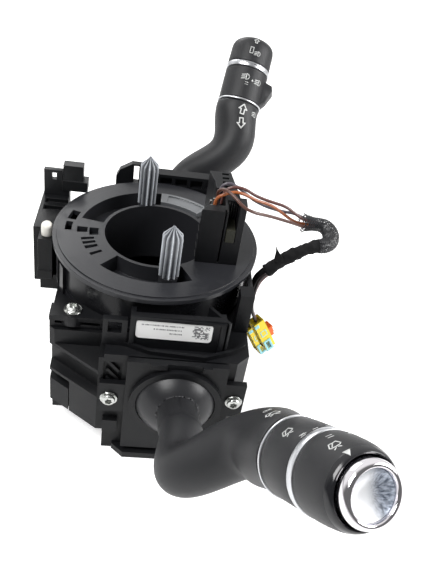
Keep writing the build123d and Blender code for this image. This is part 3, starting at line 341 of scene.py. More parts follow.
# ---------------------------------------------------------------- braided and taped bundle
# The wires run into a braided sleeve with a flared, frayed mouth, which folds back on itself.
# Cloth tape is wound round its lower half, and a torn end of the tape stands up.
sleeving_r = 3.4
sleeving_sides = 40
sleeving_route = ((82.5, -0.8, 112.0), (86.9, -0.8, 112.0), (90.2, -5.2, 110.6), (90.0, -10.8, 108.8),
                  (86.4, -14.4, 108.0), (81.0, -15.6, 108.2), (75.4, -15.8, 105.0), (69.2, -15.7, 100.6),
                  (63.6, -15.9, 95.2), (58.8, -15.8, 89.6))
core_inset = 1.8           # the wires inside the braid are this much thinner than it
tape_start = 0.42          # share of the sleeve's length at which the tape begins
tape_turns = 15
tape_step = 0.38           # height of the tape's overlapping edge
tape_sink = 0.3            # how far the tape draws the bundle in
tape_lumps = ((0.26, 23, 2), (0.16, 57, -3))       # height, waves along the bundle and waves round it
braid_strands = 13         # in each direction
braid_twist = 1.7          # turns over the braided length
braid_reach = 0.0085       # the braid's mouth stands this far out over the wires
braid_under = 0.02         # share of the length that the braid runs on under the tape
braid_steps = 64
braid_gap = 0.1            # between the tape and the middle of the braid
mouth_flare = 0.0022
flare_share = 0.7          # the flare fades over this much of the mouth's reach
flare_more = 0.05          # and over this share of the bundle's length
fray = 0.28                # how unevenly the strands end at the mouth
fray_step = 2.4            # from one strand to the next, as an angle
fold_swell = 0.0007        # the braid bulges where it is folded
fold_at = 0.24
fold_len = 0.4
strand_half_w = 0.00024
strand_half_t = 0.00012
weave_lift = 1.3           # half thicknesses that a strand rises and falls at each crossing
tail_points = ((63.4, -18.4, 98.0), (62.7, -19.2, 101.2), (61.4, -19.6, 104.6), (59.9, -19.2, 108.2))
tail_half_w = 2.5
tail_half_t = 0.00016
tail_curl = 0.9            # how far the torn end turns over its length
tail_tip = 0.12            # share of its width that the tip keeps
tail_taper = 1.6           # above 1, it narrows mostly near the tip

sleeving_line = smooth_line(sleeving_route)
sleeving_length = line_length(sleeving_line)
tape_cloth = moulded("tape_cloth", (0.006, 0.006, 0.0065), 0.75, grain_scale=1500.0, grain_depth=1.0,
                     specular=0.2)
braid_plastic = moulded("braid_plastic", (0.022, 0.0225, 0.025), 0.3, grain_depth=0.1)


def taped_radius(share, angle):
    """Radius of the wrapped bundle: thin under the braid, uneven and ridged under the tape."""
    if share < tape_start:
        return (sleeving_r - core_inset) * mm
    wrap = (share - tape_start) * tape_turns + angle / (2 * pi)
    ridge = tape_step * (1 - wrap % 1)
    lumps = sum(rise * sin(share * along + angle * across) for rise, along, across in tape_lumps)
    return (sleeving_r - tape_sink + ridge + lumps) * mm


def at_share(line, frames, share):
    """Place and crosswise directions at a share of a line's length; below 0 it runs on straight."""
    if share <= 0:
        ahead = (line[1] - line[0]).normalized()
        return line[0] + ahead * share * line_length(line), *frames[0]
    target = share * line_length(line)
    for index, (near, far) in enumerate(zip(line, line[1:])):
        step = (far - near).length
        if target <= step or index == len(line) - 2:
            return near.lerp(far, min(target / step, 1)), *frames[index]
        target -= step


def add_strand(verts, faces, centres, outs, half_w, half_t):
    """Adds a flat closed strand along a row of centres, lying square to the outward directions."""
    first = len(verts)
    for index, (centre, out) in enumerate(zip(centres, outs)):
        ahead = centres[min(index + 1, len(centres) - 1)] - centres[max(index - 1, 0)]
        across = ahead.normalized().cross(out).normalized()
        for a, b in ((1, 1), (-1, 1), (-1, -1), (1, -1)):
            verts.append(centre + across * a * half_w + out * b * half_t)
    faces.extend(ring_faces(first, len(centres), 4))


bundle = tube("harness_bundle", sleeving_line, taped_radius, sleeving_sides, tape_cloth)

verts = []
faces = []
frames = line_frames(sleeving_line)
mouth = -braid_reach / sleeving_length
flare_len = flare_share * abs(mouth) + flare_more
for direction in (1, -1):
    for number in range(braid_strands):
        centres = []
        outs = []
        ragged = mouth * (1 - fray + fray * cos(number * fray_step + direction))
        for step in range(braid_steps + 1):
            share = ragged + (tape_start + braid_under - ragged) * step / braid_steps
            turns = number / braid_strands + direction * braid_twist * (share - mouth) / tape_start
            angle = 2 * pi * turns
            place, side, up = at_share(sleeving_line, frames, share)
            out = side * cos(angle) + up * sin(angle)
            flare = mouth_flare * max(0.0, 1 - (share - mouth) / flare_len) ** 2
            weave = strand_half_t * weave_lift * direction * cos(angle * braid_strands)
            fold = fold_swell * max(0.0, cos(pi * (share - fold_at) / fold_len))
            centres.append(place + out * ((sleeving_r + braid_gap) * mm + flare + weave + fold))
            outs.append(out)
        add_strand(verts, faces, centres, outs, strand_half_w, strand_half_t)
braid = link_mesh("harness_braid", verts, faces, braid_plastic)

tail_line = smooth_line(tail_points)
verts = []
faces = []
curls = [tail_curl * index / len(tail_line) for index in range(len(tail_line))]
outs = [Vector((sin(curl), cos(curl), 0)) for curl in curls]
add_strand(verts, faces, tail_line, outs, tail_half_w * mm, tail_half_t)
for index, place in enumerate(verts):
    share = index // 4 / (len(tail_line) - 1)
    verts[index] = tail_line[index // 4].lerp(place, max(tail_tip, 1 - share ** tail_taper))
tape_tail = link_mesh("tape_tail", verts, faces, tape_cloth)

for piece in (bundle, braid, tape_tail):
    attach(piece, "root")
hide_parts("harness_sleeving")

# ---------------------------------------------------------------- leads
# A thick black tube and two thin wires come out of the taped end.
# They run down behind the side wall to the two yellow plugs.
lead_sides = 16
lead_routes = {
    "lead_tube": ((58.8, -14.2, 89.6), (55.2, -14.125, 85.4), (54.2, -13.2, 79.2), (54.1, -11.6, 72.6),
                  (54.2, -9.4, 65.8), (54.2, -7.0, 59.0), (54.6, -5.0, 52.4), (56.3, -4.4, 45.62),
                  (59.2, -4.4, 40.6)),
    "lead_wire_front": ((58.8, -18.2, 89.6), (55.92, -18.14, 86.24), (54.8, -18.4, 80.0), (54.5, -18.6, 73.2),
                        (54.8, -18.5, 66.6), (56.5, -18.4, 60.33), (59.0, -18.4, 56.0)),
    "lead_wire_back": ((60.2, -16.9, 88.4), (57.32, -16.84, 85.04), (55.6, -16.6, 79.0), (55.0, -16.2, 72.6),
                       (55.0, -16.1, 66.2), (56.5, -16.2, 60.33), (59.0, -16.2, 56.0)),
}
lead_rubber = moulded("lead_rubber", (0.007, 0.007, 0.0075), 0.5, grain_scale=700.0, grain_depth=0.3,
                      specular=0.2)
lead_front_cover = moulded("lead_front_cover", (0.03, 0.022, 0.022), 0.36, grain_depth=0.15)
lead_back_cover = moulded("lead_back_cover", (0.17, 0.075, 0.075), 0.36, grain_depth=0.15)
lead_makes = {             # radius and cover
    "lead_tube": (1.75, lead_rubber),
    "lead_wire_front": (0.8, lead_front_cover),
    "lead_wire_back": (0.8, lead_back_cover),
}

for name, route in lead_routes.items():
    radius, cover = lead_makes[name]
    line = smooth_line(route)
    lead = tube(name + "_run", line, lambda share, angle: radius * mm, lead_sides, cover)
    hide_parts(name)
    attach(lead, "root")

# ---------------------------------------------------------------- squib plugs
# Two small plugs with a yellow moulded body, a pale blue cover set into its face, and an orange lock.
# Each body is moulded in one piece; the cover and the lock snap on.
plug_ends = ((59.0, -17.3, 56.0), (59.2, -4.4, 40.6))
plug_dir = Vector((0.5, 0, -0.866)).normalized()
plug_right = (0.76, 0.46, 0.44)    # the lock's side, turned a little away from the front
plug_len = 20.0
on_side = 0.9              # a face is on a side if its normal points that way by more than this
half_w = 3.3
half_t = 3.6
plug_yellow = moulded("plug_yellow", (0.86, 0.66, 0.03), 0.3, tone_spread=0.12, grain_depth=0.1)
plug_blue = moulded("plug_blue", (0.34, 0.70, 0.76), 0.34, tone_spread=0.12, grain_depth=0.1)
plug_orange = moulded("plug_orange", (0.78, 0.13, 0.01), 0.3, tone_spread=0.12, grain_depth=0.1)
# Each part: its faces along X, Y and Z, its bevel, and its recesses as axis, side, margin and depth.
body_part = ((-half_w, half_w), (-half_t, half_t), (0, plug_len), 0.35,
             ((2, 1, 1.1, 2.5), (2, -1, 1.2, 1.6), (0, -1, 1.2, 0.7)))
window_part = ((-half_w + 1.2, half_w - 1.4), (half_t - 1.0, half_t + 0.2), (6.4, 10.6), 0.25,
               ((1, 1, 0.7, 0.25, "sloped"),))
collar_part = ((-half_w - 0.25, -half_w + 2.6), (half_t - 2.4, half_t + 0.25), (0.8, 3.0), 0.3, ())
nose_part = ((-half_w + 0.4, half_w - 1.6), (half_t - 3.0, half_t + 0.5), (13.6, 21.0), 0.3,
             ((2, 1, 1.1, 2.2), (1, 1, 1.2, 0.5)))
lock_part = ((half_w - 0.5, half_w + 2.4), (-half_t + 1.4, half_t - 1.2), (9.4, 14.6), 0.35,
             ((0, 1, 0.9, -0.8),))
hook_part = ((half_w - 0.2, half_w + 3.2), (-half_t + 0.6, half_t - 0.4), (7.6, 9.2), 0.4, ())
plug_parts = (
    ("plug_bodies", plug_yellow, (body_part,)),
    ("plug_covers", plug_blue, (window_part, collar_part, nose_part)),
    ("plug_locks", plug_orange, (lock_part, hook_part)),
)


def choose(piece):
    """Makes a piece the only one selected, and the active one."""
    bpy.ops.object.select_all(action="DESELECT")
    piece.select_set(True)
    bpy.context.view_layer.objects.active = piece


def edit(piece, everything=False):
    """Opens a piece in edit mode with face select on, and with nothing or everything selected."""
    choose(piece)
    bpy.ops.object.mode_set(mode="EDIT")
    bpy.ops.mesh.select_mode(type="FACE")
    bpy.ops.mesh.select_all(action="SELECT" if everything else "DESELECT")


def recess(piece, axis, side, margin, depth, wall="straight"):
    """Insets the face on one side of a piece and pushes its middle in, or out where the depth is negative."""
    edit(piece)
    shape = bmesh.from_edit_mesh(piece.data)
    for face in shape.faces:
        if face.normal[axis] * side > on_side:
            face.select_set(True)
    bmesh.update_edit_mesh(piece.data)
    bpy.ops.mesh.inset(thickness=margin * mm)
    move = [0, 0, 0]
    move[axis] = -side * depth * mm
    if wall == "sloped":
        bpy.ops.transform.translate(value=move)
    else:
        bpy.ops.mesh.extrude_region_move(TRANSFORM_OT_translate={"value": move})
    bpy.ops.object.mode_set(mode="OBJECT")


def apply_modifier(piece, kind, **settings):
    """Gives a piece a modifier with its properties set, and applies it."""
    choose(piece)
    modifier = piece.modifiers.new(kind, kind)
    for key, value in settings.items():
        setattr(modifier, key, value)
    bpy.ops.object.modifier_apply(modifier=modifier.name)


def finish_shape(piece, bevel=0.0, angle=30, smooth=35):
    """Applies a bevel of a piece's sharp edges and shades its round faces smooth."""
    if bpy.context.mode != "OBJECT":
        bpy.ops.object.mode_set(mode="OBJECT")
    choose(piece)
    bpy.ops.object.shade_smooth_by_angle(angle=radians(smooth))
    if bevel:
        apply_modifier(piece, "BEVEL", width=bevel * mm, segments=2, limit_method="ANGLE",
                       angle_limit=radians(angle), harden_normals=True)


def brick(x, y, z, material):
    """A box between two faces on each axis, in millimetres."""
    middle = [(high + low) / 2 * mm for low, high in (x, y, z)]
    bpy.ops.mesh.primitive_cube_add(size=1, location=middle)
    piece = bpy.context.object
    piece.scale = [(high - low) * mm for low, high in (x, y, z)]
    bpy.ops.object.transform_apply(location=True, rotation=True, scale=True)
    piece.data.materials.append(material)
    return piece


def join(pieces, name):
    """Several pieces made one."""
    choose(pieces[0])
    for piece in pieces:
        piece.select_set(True)
    bpy.ops.object.join()
    pieces[0].name = name
    return pieces[0]


def put(piece, origin, ahead, right):
    """Moves a mesh that stands along +Z at the origin to a place, with ahead and right as its Z and X."""
    ahead = Vector(ahead).normalized()
    right = Vector(right)
    right = (right - ahead * right.dot(ahead)).normalized()
    turn = Matrix((right, ahead.cross(right), ahead)).transposed().to_4x4()
    piece.data.transform(Matrix.Translation(Vector(origin) * mm) @ turn)


for name, finish, parts in plug_parts:
    pieces = []
    for end in plug_ends:
        for x, y, z, bevel, recesses in parts:
            piece = brick(x, y, z, finish)
            for sizes in recesses:
                recess(piece, *sizes)
            finish_shape(piece, bevel)
            put(piece, end, plug_dir, plug_right)
            pieces.append(piece)
    whole = join(pieces, name)
    if finish is plug_yellow:
        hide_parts("squib_plugs")
    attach(whole, "root")

# ---------------------------------------------------------------- column housing
# The lower housing and the column sleeve are moulded in black glass-filled nylon.
# Their edges are eased, and their faces carry a fine spark grain.
body_of = {node: body for body, held in frame["record"]["behaviour"]["bodies"].items() for node in held}
doubles = 0.002            # points nearer than this are one
flat_within = 0.6          # faces that turn less than this, in degrees, are one
ease_over = 28             # edges sharper than this are eased
black_housing = moulded("black_housing", (0.0065, 0.0068, 0.0076), 0.42, grain_depth=0.4, specular=0.2)


def stand_for(piece, node):
    """Shows a piece in a node's place and its body."""
    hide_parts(node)
    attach(piece, body_of[node])


def eased(node, material, bevel, smooth=30):
    """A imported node's shape with its doubles merged, its flat faces made whole and its edges eased."""
    shape = nodes[node].data.copy()
    shape.materials.clear()
    shape.materials.append(material)
    piece = link(bpy.data.objects.new(node + "_shape", shape))
    edit(piece, everything=True)
    bpy.ops.mesh.remove_doubles(threshold=doubles * mm)
    if bevel:
        bpy.ops.mesh.dissolve_limited(angle_limit=radians(flat_within))
    finish_shape(piece, bevel, ease_over, smooth)
    stand_for(piece, node)
    return piece


eased("column_housing", black_housing, 0.35)
eased("column_sleeve", black_housing, 0.3)

# ---------------------------------------------------------------- module cover
# The cover plate carries the label panel, the brackets, the screw trays and the wall behind the rotor.
# It is moulded in a slightly smoother black and is held by two flanged screws.
black_cover = moulded("black_cover", (0.0065, 0.0068, 0.0078), 0.36, grain_depth=0.22, specular=0.2)

eased("module_cover", black_cover, 0.3)

# ---------------------------------------------------------------- flanged screws
# Zinc-plated pan-head screws with a six-lobe socket and a dished flange, driven into the ears and trays.
# One is modelled and copied to each place.
screw_profile = ((0.0, -1.2), (1.9, -1.2), (1.9, 0.0), (4.15, 0.0), (4.4, 0.2), (4.4, 0.65), (4.2, 0.9),
                 (3.75, 0.72), (3.35, 0.72), (3.3, 1.9), (3.05, 2.45), (2.5, 2.8), (1.6, 2.95), (0.0, 2.95))
socket_sides = 48
socket_lobes = 6
lobe_rise = 0.13           # share of the radius
socket_r = 1.75
socket_depth = 1.7
cover_screw_at = (38.1, 43.4, 75.0)
case_screw_x = ((-16.9, 42.0), (45.2, 45.5))
case_screw_y = 69.0
first_lean = 17            # how far the first screw of a pair is turned, in degrees
next_lean = 41
screw_zinc = moulded("screw_zinc", (0.58, 0.59, 0.57), 0.24, metallic=1.0, tone_spread=0.5, gloss_spread=0.3,
                     grain_scale=900.0, grain_depth=0.12)


def turned(name, profile, material, steps=48, smooth=35):
    """A closed piece turned about the Z axis from (radius, height) pairs in millimetres, by a spin."""
    mesh = bpy.data.meshes.new(name)
    edges = [(index, index + 1) for index in range(len(profile) - 1)]
    mesh.from_pydata([(radius * mm, 0, height * mm) for radius, height in profile], edges, [])
    mesh.materials.append(material)
    piece = link(bpy.data.objects.new(name, mesh))
    edit(piece)
    bpy.ops.mesh.select_mode(type="VERT")
    bpy.ops.mesh.select_all(action="SELECT")
    bpy.ops.mesh.spin(steps=steps, angle=2 * pi, center=(0, 0, 0), axis=(0, 0, 1))
    bpy.ops.mesh.select_all(action="SELECT")
    bpy.ops.mesh.remove_doubles(threshold=2 * doubles * mm)
    bpy.ops.mesh.normals_make_consistent(inside=False)
    finish_shape(piece, smooth=smooth)
    return piece


def lobed_socket():
    """The six-lobe shape that the driver fits, as a closed prism."""
    top = screw_profile[-1][1]
    bpy.ops.mesh.primitive_cylinder_add(vertices=socket_sides, radius=socket_r * mm,
                                        depth=2 * socket_depth * mm, location=(0, 0, top * mm))
    socket = bpy.context.object
    for vertex in socket.data.vertices:
        angle = 2 * pi * (vertex.index // 2) / socket_sides
        share = 1 + lobe_rise * cos(socket_lobes * angle)
        vertex.co.x *= share
        vertex.co.y *= share
    return socket


screw = turned("screw_head", screw_profile, screw_zinc)
socket = lobed_socket()
apply_modifier(screw, "BOOLEAN", operation="DIFFERENCE", solver="EXACT", object=socket)
bpy.data.objects.remove(socket)
finish_shape(screw, smooth=32)

x, y, z = cover_screw_at
screw_places = {
    "cover_screws": [((-x, side * y, z), (0, 0, 1)) for side in (-1, 1)],
    "wiper_case_screws": [((x, -case_screw_y, z), (0, -1, 0)) for x, z in case_screw_x],
    "light_case_screws": [((x, case_screw_y, z), (0, 1, 0)) for x, z in case_screw_x],
}
for node, places in screw_places.items():
    heads = []
    for number, (place, ahead) in enumerate(places):
        head = link(screw.copy())
        head.data = screw.data.copy()
        lean = radians(first_lean + next_lean * number)
        put(head, place, ahead, (cos(lean), sin(lean) if ahead[2] else 0, 0 if ahead[2] else sin(lean)))
        heads.append(head)
    heads = join(heads, node + "_heads")
    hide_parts(node)
    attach(heads, "root")
bpy.data.objects.remove(screw)

# ---------------------------------------------------------------- label
# A white printed film on the front panel, with rounded corners.
# Its print is generic: rows of short bars and a patch of dots that stands for no code.
print_face = -59.91            # the print's back, on the film's front
print_t = 0.03
text_rows = ((84.4, -4.2, 16.4), (82.0, 1.6, 15.2), (79.7, 9.4, 15.4))     # height, start and end
text_half_h = 0.42
bar_widths = (0.35, 0.45, 0.6)
bar_gaps = (0.22, 0.28, 0.6)
dot_corner = (20.2, 77.6)
dot_pitch = 0.62
dot_count = 13
dot_chance = 0.52
dot_gap = 0.02
print_seed = 7
label_white = moulded("label_white", (0.80, 0.80, 0.79), 0.42, tone_spread=0.06, grain_depth=0.1)
print_grey = moulded("print_grey", (0.16, 0.16, 0.165), 0.5, grain_depth=0.1)


def repaint(node, material):
    """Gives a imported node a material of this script's."""
    nodes[node].data.materials.clear()
    nodes[node].data.materials.append(material)


repaint("label_plate", label_white)
patches = []
draw = random.Random(print_seed)
for height, x, end in text_rows:
    while x < end:
        width = draw.choice(bar_widths)
        patches.append((x, x + width, height - text_half_h, height + text_half_h))
        x += width + draw.choice(bar_gaps)
for row in range(dot_count):
    run = None
    y = dot_corner[1] + row * dot_pitch
    for column in range(dot_count + 1):
        dark = column < dot_count and draw.random() < dot_chance
        x = dot_corner[0] + column * dot_pitch
        if dark and run is None:
            run = x
        if not dark and run is not None:
            patches.append((run, x, y + dot_gap, y + dot_pitch - dot_gap))
            run = None
verts = []
faces = []
for left, right, low, high in patches:
    faces += ring_faces(len(verts), 2, 4)
    for depth in (print_face, print_face - print_t):
        for x, z in ((left, low), (right, low), (right, high), (left, high)):
            verts.append(Vector((x, depth, z)) * mm)
label_print = link_mesh("label_print", verts, faces, print_grey)
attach(label_print, "root")

# ---------------------------------------------------------------- clock spring
# The stator drum and the rotor are glossy dark grey acetal; a polyimide flat cable is wound between them.
# The rotor's flat ring is polished by its mould and shows faint turning marks and scuffs.
tree, entry, leave = shader_group("ring marks", {"Ring Scale": "Float", "Scuff Amount": "Float"},
                                  {"Height": "Float", "Scuff": "Float"})
ring_marks = tree
place = add_node(tree, "TexCoord")["Object"]
apart = add_node(tree, "SeparateXYZ", {0: place})
flat = add_node(tree, "CombineXYZ", {"X": apart["X"], "Y": apart["Y"]})[0]
radius = add_node(tree, "VectorMath", {0: flat}, operation="LENGTH")["Value"]
along = math_node(tree, "MULTIPLY", radius, entry["Ring Scale"])
rings = add_node(tree, "TexNoise", {"W": along, "Scale": 1.0}, noise_dimensions="1D")["Fac"]
scuff = add_node(tree, "TexNoise", {
    "Vector": place, "Scale": 95.0, "Detail": 6.0, "Distortion": 1.5,
})["Fac"]
steep = add_node(tree, "MapRange", {"Value": scuff, "From Min": 0.52, "From Max": 0.72})["Result"]
amount = math_node(tree, "MULTIPLY", steep, entry["Scuff Amount"])
feed(tree, leave, {"Height": rings, "Scuff": amount})

rotor_grey = moulded("rotor_grey", (0.0185, 0.019, 0.0218), 0.30, gloss_spread=0.1, tone_spread=0.15,
                     grain_depth=0.06, specular=0.3)
tree = rotor_grey.node_tree
surface = next(node for node in tree.nodes if node.type == "GROUP").outputs
worn = add_node(tree, "Group", {"Ring Scale": 900.0, "Scuff Amount": 0.14}, node_tree=ring_marks)
ringed = add_node(tree, "Bump", {
    "Strength": 0.25, "Distance": 0.0001, "Height": worn["Height"], "Normal": surface["Normal"],
})["Normal"]
duller = math_node(tree, "ADD", surface["Roughness"], worn["Scuff"])
feed(tree, tree.nodes["Principled BSDF"], {"Roughness": duller, "Normal": ringed})
drum_black = moulded("drum_black", (0.008, 0.0082, 0.0095), 0.28, gloss_spread=0.14, grain_depth=0.08,
                     specular=0.22)
cable_amber = moulded("cable_amber", (0.5, 0.25, 0.05), 0.25)
cam_white = moulded("cam_white", (0.72, 0.71, 0.67), 0.4)
window_clear = moulded("window_clear", (0.11, 0.115, 0.122), 0.16, tone_spread=0.2, grain_depth=0.05,
                       coat=0.5)
board_green = moulded("board_green", (0.03, 0.14, 0.06), 0.3)

eased("clockspring_stator", drum_black, 0.3)
eased("clockspring_rotor", rotor_grey, 0.28)
eased("centring_window", window_clear, 0.2)
eased("cancel_cam", cam_white, 0.3)
repaint("flat_cable", cable_amber)
repaint("circuit_board", board_green)

# ---------------------------------------------------------------- drive sleeves
# Two pale grey fluted sleeves, moulded in a slightly translucent plastic, are pushed over the rotor's posts.
# Ten ribs run up each one and close into a pointed tip; the ribs carry a painted highlight and the flutes a
# painted shade.
post_ring_r = 33.0
post_angles = (-78.0, 102.0)
sleeve_foot = 94.0
sleeve_r = 5.2
rib_count = 10
rib_sides = 12
rib_depth = 0.24           # the flutes' depth as a share of the radius
rib_round = 0.45           # below 1, the flutes are wide and the ribs narrow
station_slack = 0.001      # a point this much above a station still belongs to it
sleeve_stations = ((0.0, 0.86), (0.25, 1.0), (22.6, 1.0), (24.0, 0.93), (28.0, 0.2), (29.0, 0.1))
sleeve_grey = moulded("sleeve_grey", (0.14, 0.15, 0.17), 0.26, tone_spread=0.25, gloss_spread=0.15,
                      grain_scale=500.0, grain_depth=0.12)
tree = sleeve_grey.node_tree
# Painted highlight and shade: the base colour runs from dark in the flutes to pale on the ribs.
painted_light_mask = add_node(tree, "Attribute", attribute_name="rib_painted_light")["Fac"]
painted_shade_and_highlight = add_node(tree, "Mix", {
    "Factor": math_node(tree, "POWER", painted_light_mask, 1.5), "A": (0.045, 0.048, 0.056, 1), "B": (0.62, 0.65, 0.69, 1),
}, data_type="RGBA")["Result"]
feed(tree, tree.nodes["Principled BSDF"], {
    "Base Color": painted_shade_and_highlight, "Subsurface Weight": 0.25, "Subsurface Radius": (0.002, 0.002, 0.0022),
})


def fluted_sleeve(middle):
    """One sleeve: a ribbed outline, drawn up through its stations and capped."""
    bpy.ops.mesh.primitive_circle_add(vertices=rib_count * rib_sides, radius=sleeve_r * mm, fill_type="NGON")
    piece = bpy.context.object
    for vertex in piece.data.vertices:
        flute = (0.5 - 0.5 * cos(2 * pi * vertex.index / rib_sides)) ** rib_round
        vertex.co *= (1 - rib_depth * flute) * sleeve_stations[0][1]
    piece.data.materials.append(sleeve_grey)
    edit(piece, everything=True)
    stages = list(zip(sleeve_stations, sleeve_stations[1:]))
    for (low, near), (high, far) in stages:
        bpy.ops.mesh.extrude_region_move(TRANSFORM_OT_translate={"value": (0, 0, (high - low) * mm)})
        bpy.ops.transform.resize(value=(far / near, far / near, 1), center_override=(0, 0, high * mm))
    bpy.ops.mesh.select_all(action="SELECT")
    bpy.ops.mesh.normals_make_consistent(inside=False)
    finish_shape(piece, smooth=42)
    # Each point's height on its rib masks the painted shade in the flutes and the painted highlight on the
    # ribs.
    rib_painted_light = piece.data.attributes.new("rib_painted_light", "FLOAT", "POINT")
    for vertex in piece.data.vertices:
        height = vertex.co.z / mm
        (low, near), (high, far) = next(stage for stage in stages if height <= stage[1][0] + station_slack)
        reach = far + (near - far) * (high - height) / (high - low)
        out = vertex.co.xy.length / (sleeve_r * reach * mm)
        rib_painted_light.data[vertex.index].value = max(0.0, (out - 1 + rib_depth) / rib_depth)
    piece.data.transform(Matrix.Translation(Vector((*middle, sleeve_foot)) * mm))
    return piece


posts = [(post_ring_r * cos(radians(angle)), post_ring_r * sin(radians(angle))) for angle in post_angles]
sleeves = join([fluted_sleeve(middle) for middle in posts], "fluted_sleeves")
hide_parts("drive_sleeves")
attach(sleeves, "rotor")

# ---------------------------------------------------------------- connector tower
# A black housing on the rotor takes the airbag wires' plugs and, in its open bay, an olive contact carrier.
# Comb blades and ribs stand in the bay, and tinned terminals show in the top's chambers.
blade_x = [33.5 + 1.25 * number for number in range(4)]
blade_y = (-12.6, -10.15)
blade_z = (117.2, 126.2)
blade_t = 0.55
blade_fall = 0.5           # each blade's top is this much lower than the one before
rib_x = [34.2 + 1.3 * number for number in range(3)]
rib_y = (-21.2, -20.9)
rib_z = (109.6, 115.8)
step_x = (19.45, 19.75)
step_y = (-20.4, -14.6)
step_z = [97.5 + 5.2 * number for number in range(5)]
rib_t = 0.5                # thickness of the ribs and the steps
terminal_at = ((25.0, -10.6), (24.8, -6.4), (26.6, -4.2), (30.4, -10.8))
terminal_half = (0.55, 0.4)
terminal_z = (120.9, 123.4)
contact_olive = moulded("contact_olive", (0.024, 0.024, 0.017), 0.4, specular=0.25)
terminal_tin = moulded("terminal_tin", (0.55, 0.53, 0.5), 0.3, metallic=1.0, tone_spread=0.4)
tower_black = moulded("tower_black", (0.0065, 0.0068, 0.0078), 0.4, grain_depth=0.2, specular=0.2)

eased("connector_tower", tower_black, 0.22)
eased("tower_contact", contact_olive, 0.2)

low, high = blade_z
combs = [brick((x, x + blade_t), blade_y, (low, high - blade_fall * number), tower_black)
         for number, x in enumerate(blade_x)]
combs += [brick((x, x + rib_t), rib_y, rib_z, tower_black) for x in rib_x]
combs += [brick(step_x, step_y, (z, z + rib_t), tower_black) for z in step_z]
comb = join(combs, "tower_comb")
finish_shape(comb, bevel=0.08)
half_x, half_y = terminal_half
pins = [brick((x - half_x, x + half_x), (y - half_y, y + half_y), terminal_z, terminal_tin)
        for x, y in terminal_at]
terminals = join(pins, "tower_terminals")
finish_shape(terminals, bevel=0.12)
for piece in (comb, terminals):
    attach(piece, "rotor")

# ---------------------------------------------------------------- side pod
# A connector shroud on the left side: a body, an upright hood with its window, a header and a white peg.
# All are moulded in black; the peg is natural acetal.
peg_white = moulded("peg_white", (0.74, 0.72, 0.66), 0.38, tone_spread=0.15)
pod_grey = moulded("pod_grey", (0.010, 0.0105, 0.0115), 0.38, grain_depth=0.25, specular=0.25)

eased("side_pod", black_housing, 0.35)
eased("pod_connector", pod_grey, 0.3)
eased("pod_header", black_housing, 0.35)
repaint("pod_peg", peg_white)

# ---------------------------------------------------------------- switch modules
# Each stalk's slide-in module has a flat plate with two screw ears and a round bezel.
# Inside are the yoke, its steel pin, the sprung plunger and the detent block.
yoke_white = moulded("yoke_white", (0.72, 0.71, 0.67), 0.4)
pin_steel = moulded("pin_steel", (0.5, 0.5, 0.52), 0.25, metallic=1.0)
case_black = moulded("case_black", (0.0065, 0.0068, 0.0078), 0.4, grain_depth=0.3, specular=0.2)

for stalk in ("wiper", "light"):
    eased(stalk + "_switch_case", case_black, 0.3)
    eased(stalk + "_bezel", black_cover, 0.35)
    repaint(stalk + "_pivot_pin", pin_steel)
    for inner in ("_yoke", "_detent_plunger", "_detent_block"):
        repaint(stalk + inner, yoke_white)

# ---------------------------------------------------------------- stalks
# A ball boot closes each module; the arm is blow-moulded and sprayed with a soft dark grey paint.
# Rotary barrels, a thin ring and a satin band follow along its upper end.
boot_grey = moulded("boot_grey", (0.017, 0.0172, 0.019), 0.34, tone_spread=0.12, grain_scale=3600.0,
                    grain_depth=0.15, specular=0.3)
stalk_paint = moulded("stalk_paint", (0.0155, 0.0158, 0.0174), 0.44, tone_spread=0.12, gloss_spread=0.08,
                      grain_scale=4200.0, grain_depth=0.45, specular=0.32)
satin_silver = moulded("satin_silver", (0.62, 0.63, 0.65), 0.30, tone_spread=0.1, metallic=0.95,
                       grain_depth=0.05)
axis_places = {            # the thin ring's middle, the way along the stalk, and a way across it
    "wiper": ((52.1, -152.9, 112.1), Vector((0.298, -0.740, 0.603)).normalized(), (0.740, 0.298, 0.0)),
    "light": ((50.4, 146.0, 108.0), Vector((0.167, 0.652, 0.740)).normalized(), (0.652, -0.167, 0.0)),
}
core_r = 9.1
round_r = 0.45             # rounding of the rings' and barrels' rims
round_share = 0.3          # of it, where the rounding's middle point lies
barrel_steps = 128
turned_sleeves = {         # radius, start and end along the stalk's axis, from its thin ring
    "wiper_thin_ring": (15.1, 0.0, 1.3, satin_silver),
    "wiper_speed_barrel": (14.7, 1.6, 19.2, stalk_paint),
    "wiper_band": (14.95, 19.5, 22.9, satin_silver),
    "light_thin_ring": (15.1, 0.0, 1.3, satin_silver),
    "light_band": (14.95, 23.6, 27.0, satin_silver),
}


def on_stalk(piece, node):
    """Places a turned piece on its stalk's axis, where it stands for a node."""
    put(piece, *axis_places[node.split("_")[0]])
    stand_for(piece, node)
    painted[node] = piece


painted = {}
for stalk in ("wiper", "light"):
    eased(stalk + "_boot", boot_grey, 0.0, smooth=40)
    painted[stalk + "_arm"] = eased(stalk + "_arm", stalk_paint, 0.0, smooth=50)
for node in ("light_fog_barrel", "light_end_barrel"):
    painted[node] = eased(node, stalk_paint, 0.0, smooth=38)
for piece in painted.values():
    apply_modifier(piece, "WEIGHTED_NORMAL", weight=100, keep_sharp=True)  # no streaks on long thin faces
for node, (radius, start, end, finish) in turned_sleeves.items():
    inset = round_r * round_share
    rim = [(radius - round_r, start), (radius - inset, start + inset), (radius, start + round_r),
           (radius, end - round_r), (radius - inset, end - inset), (radius - round_r, end)]
    profile = [(core_r, start), *rim, (core_r, end), (core_r, start)]
    on_stalk(turned(node + "_turned", profile, finish, steps=barrel_steps), node)

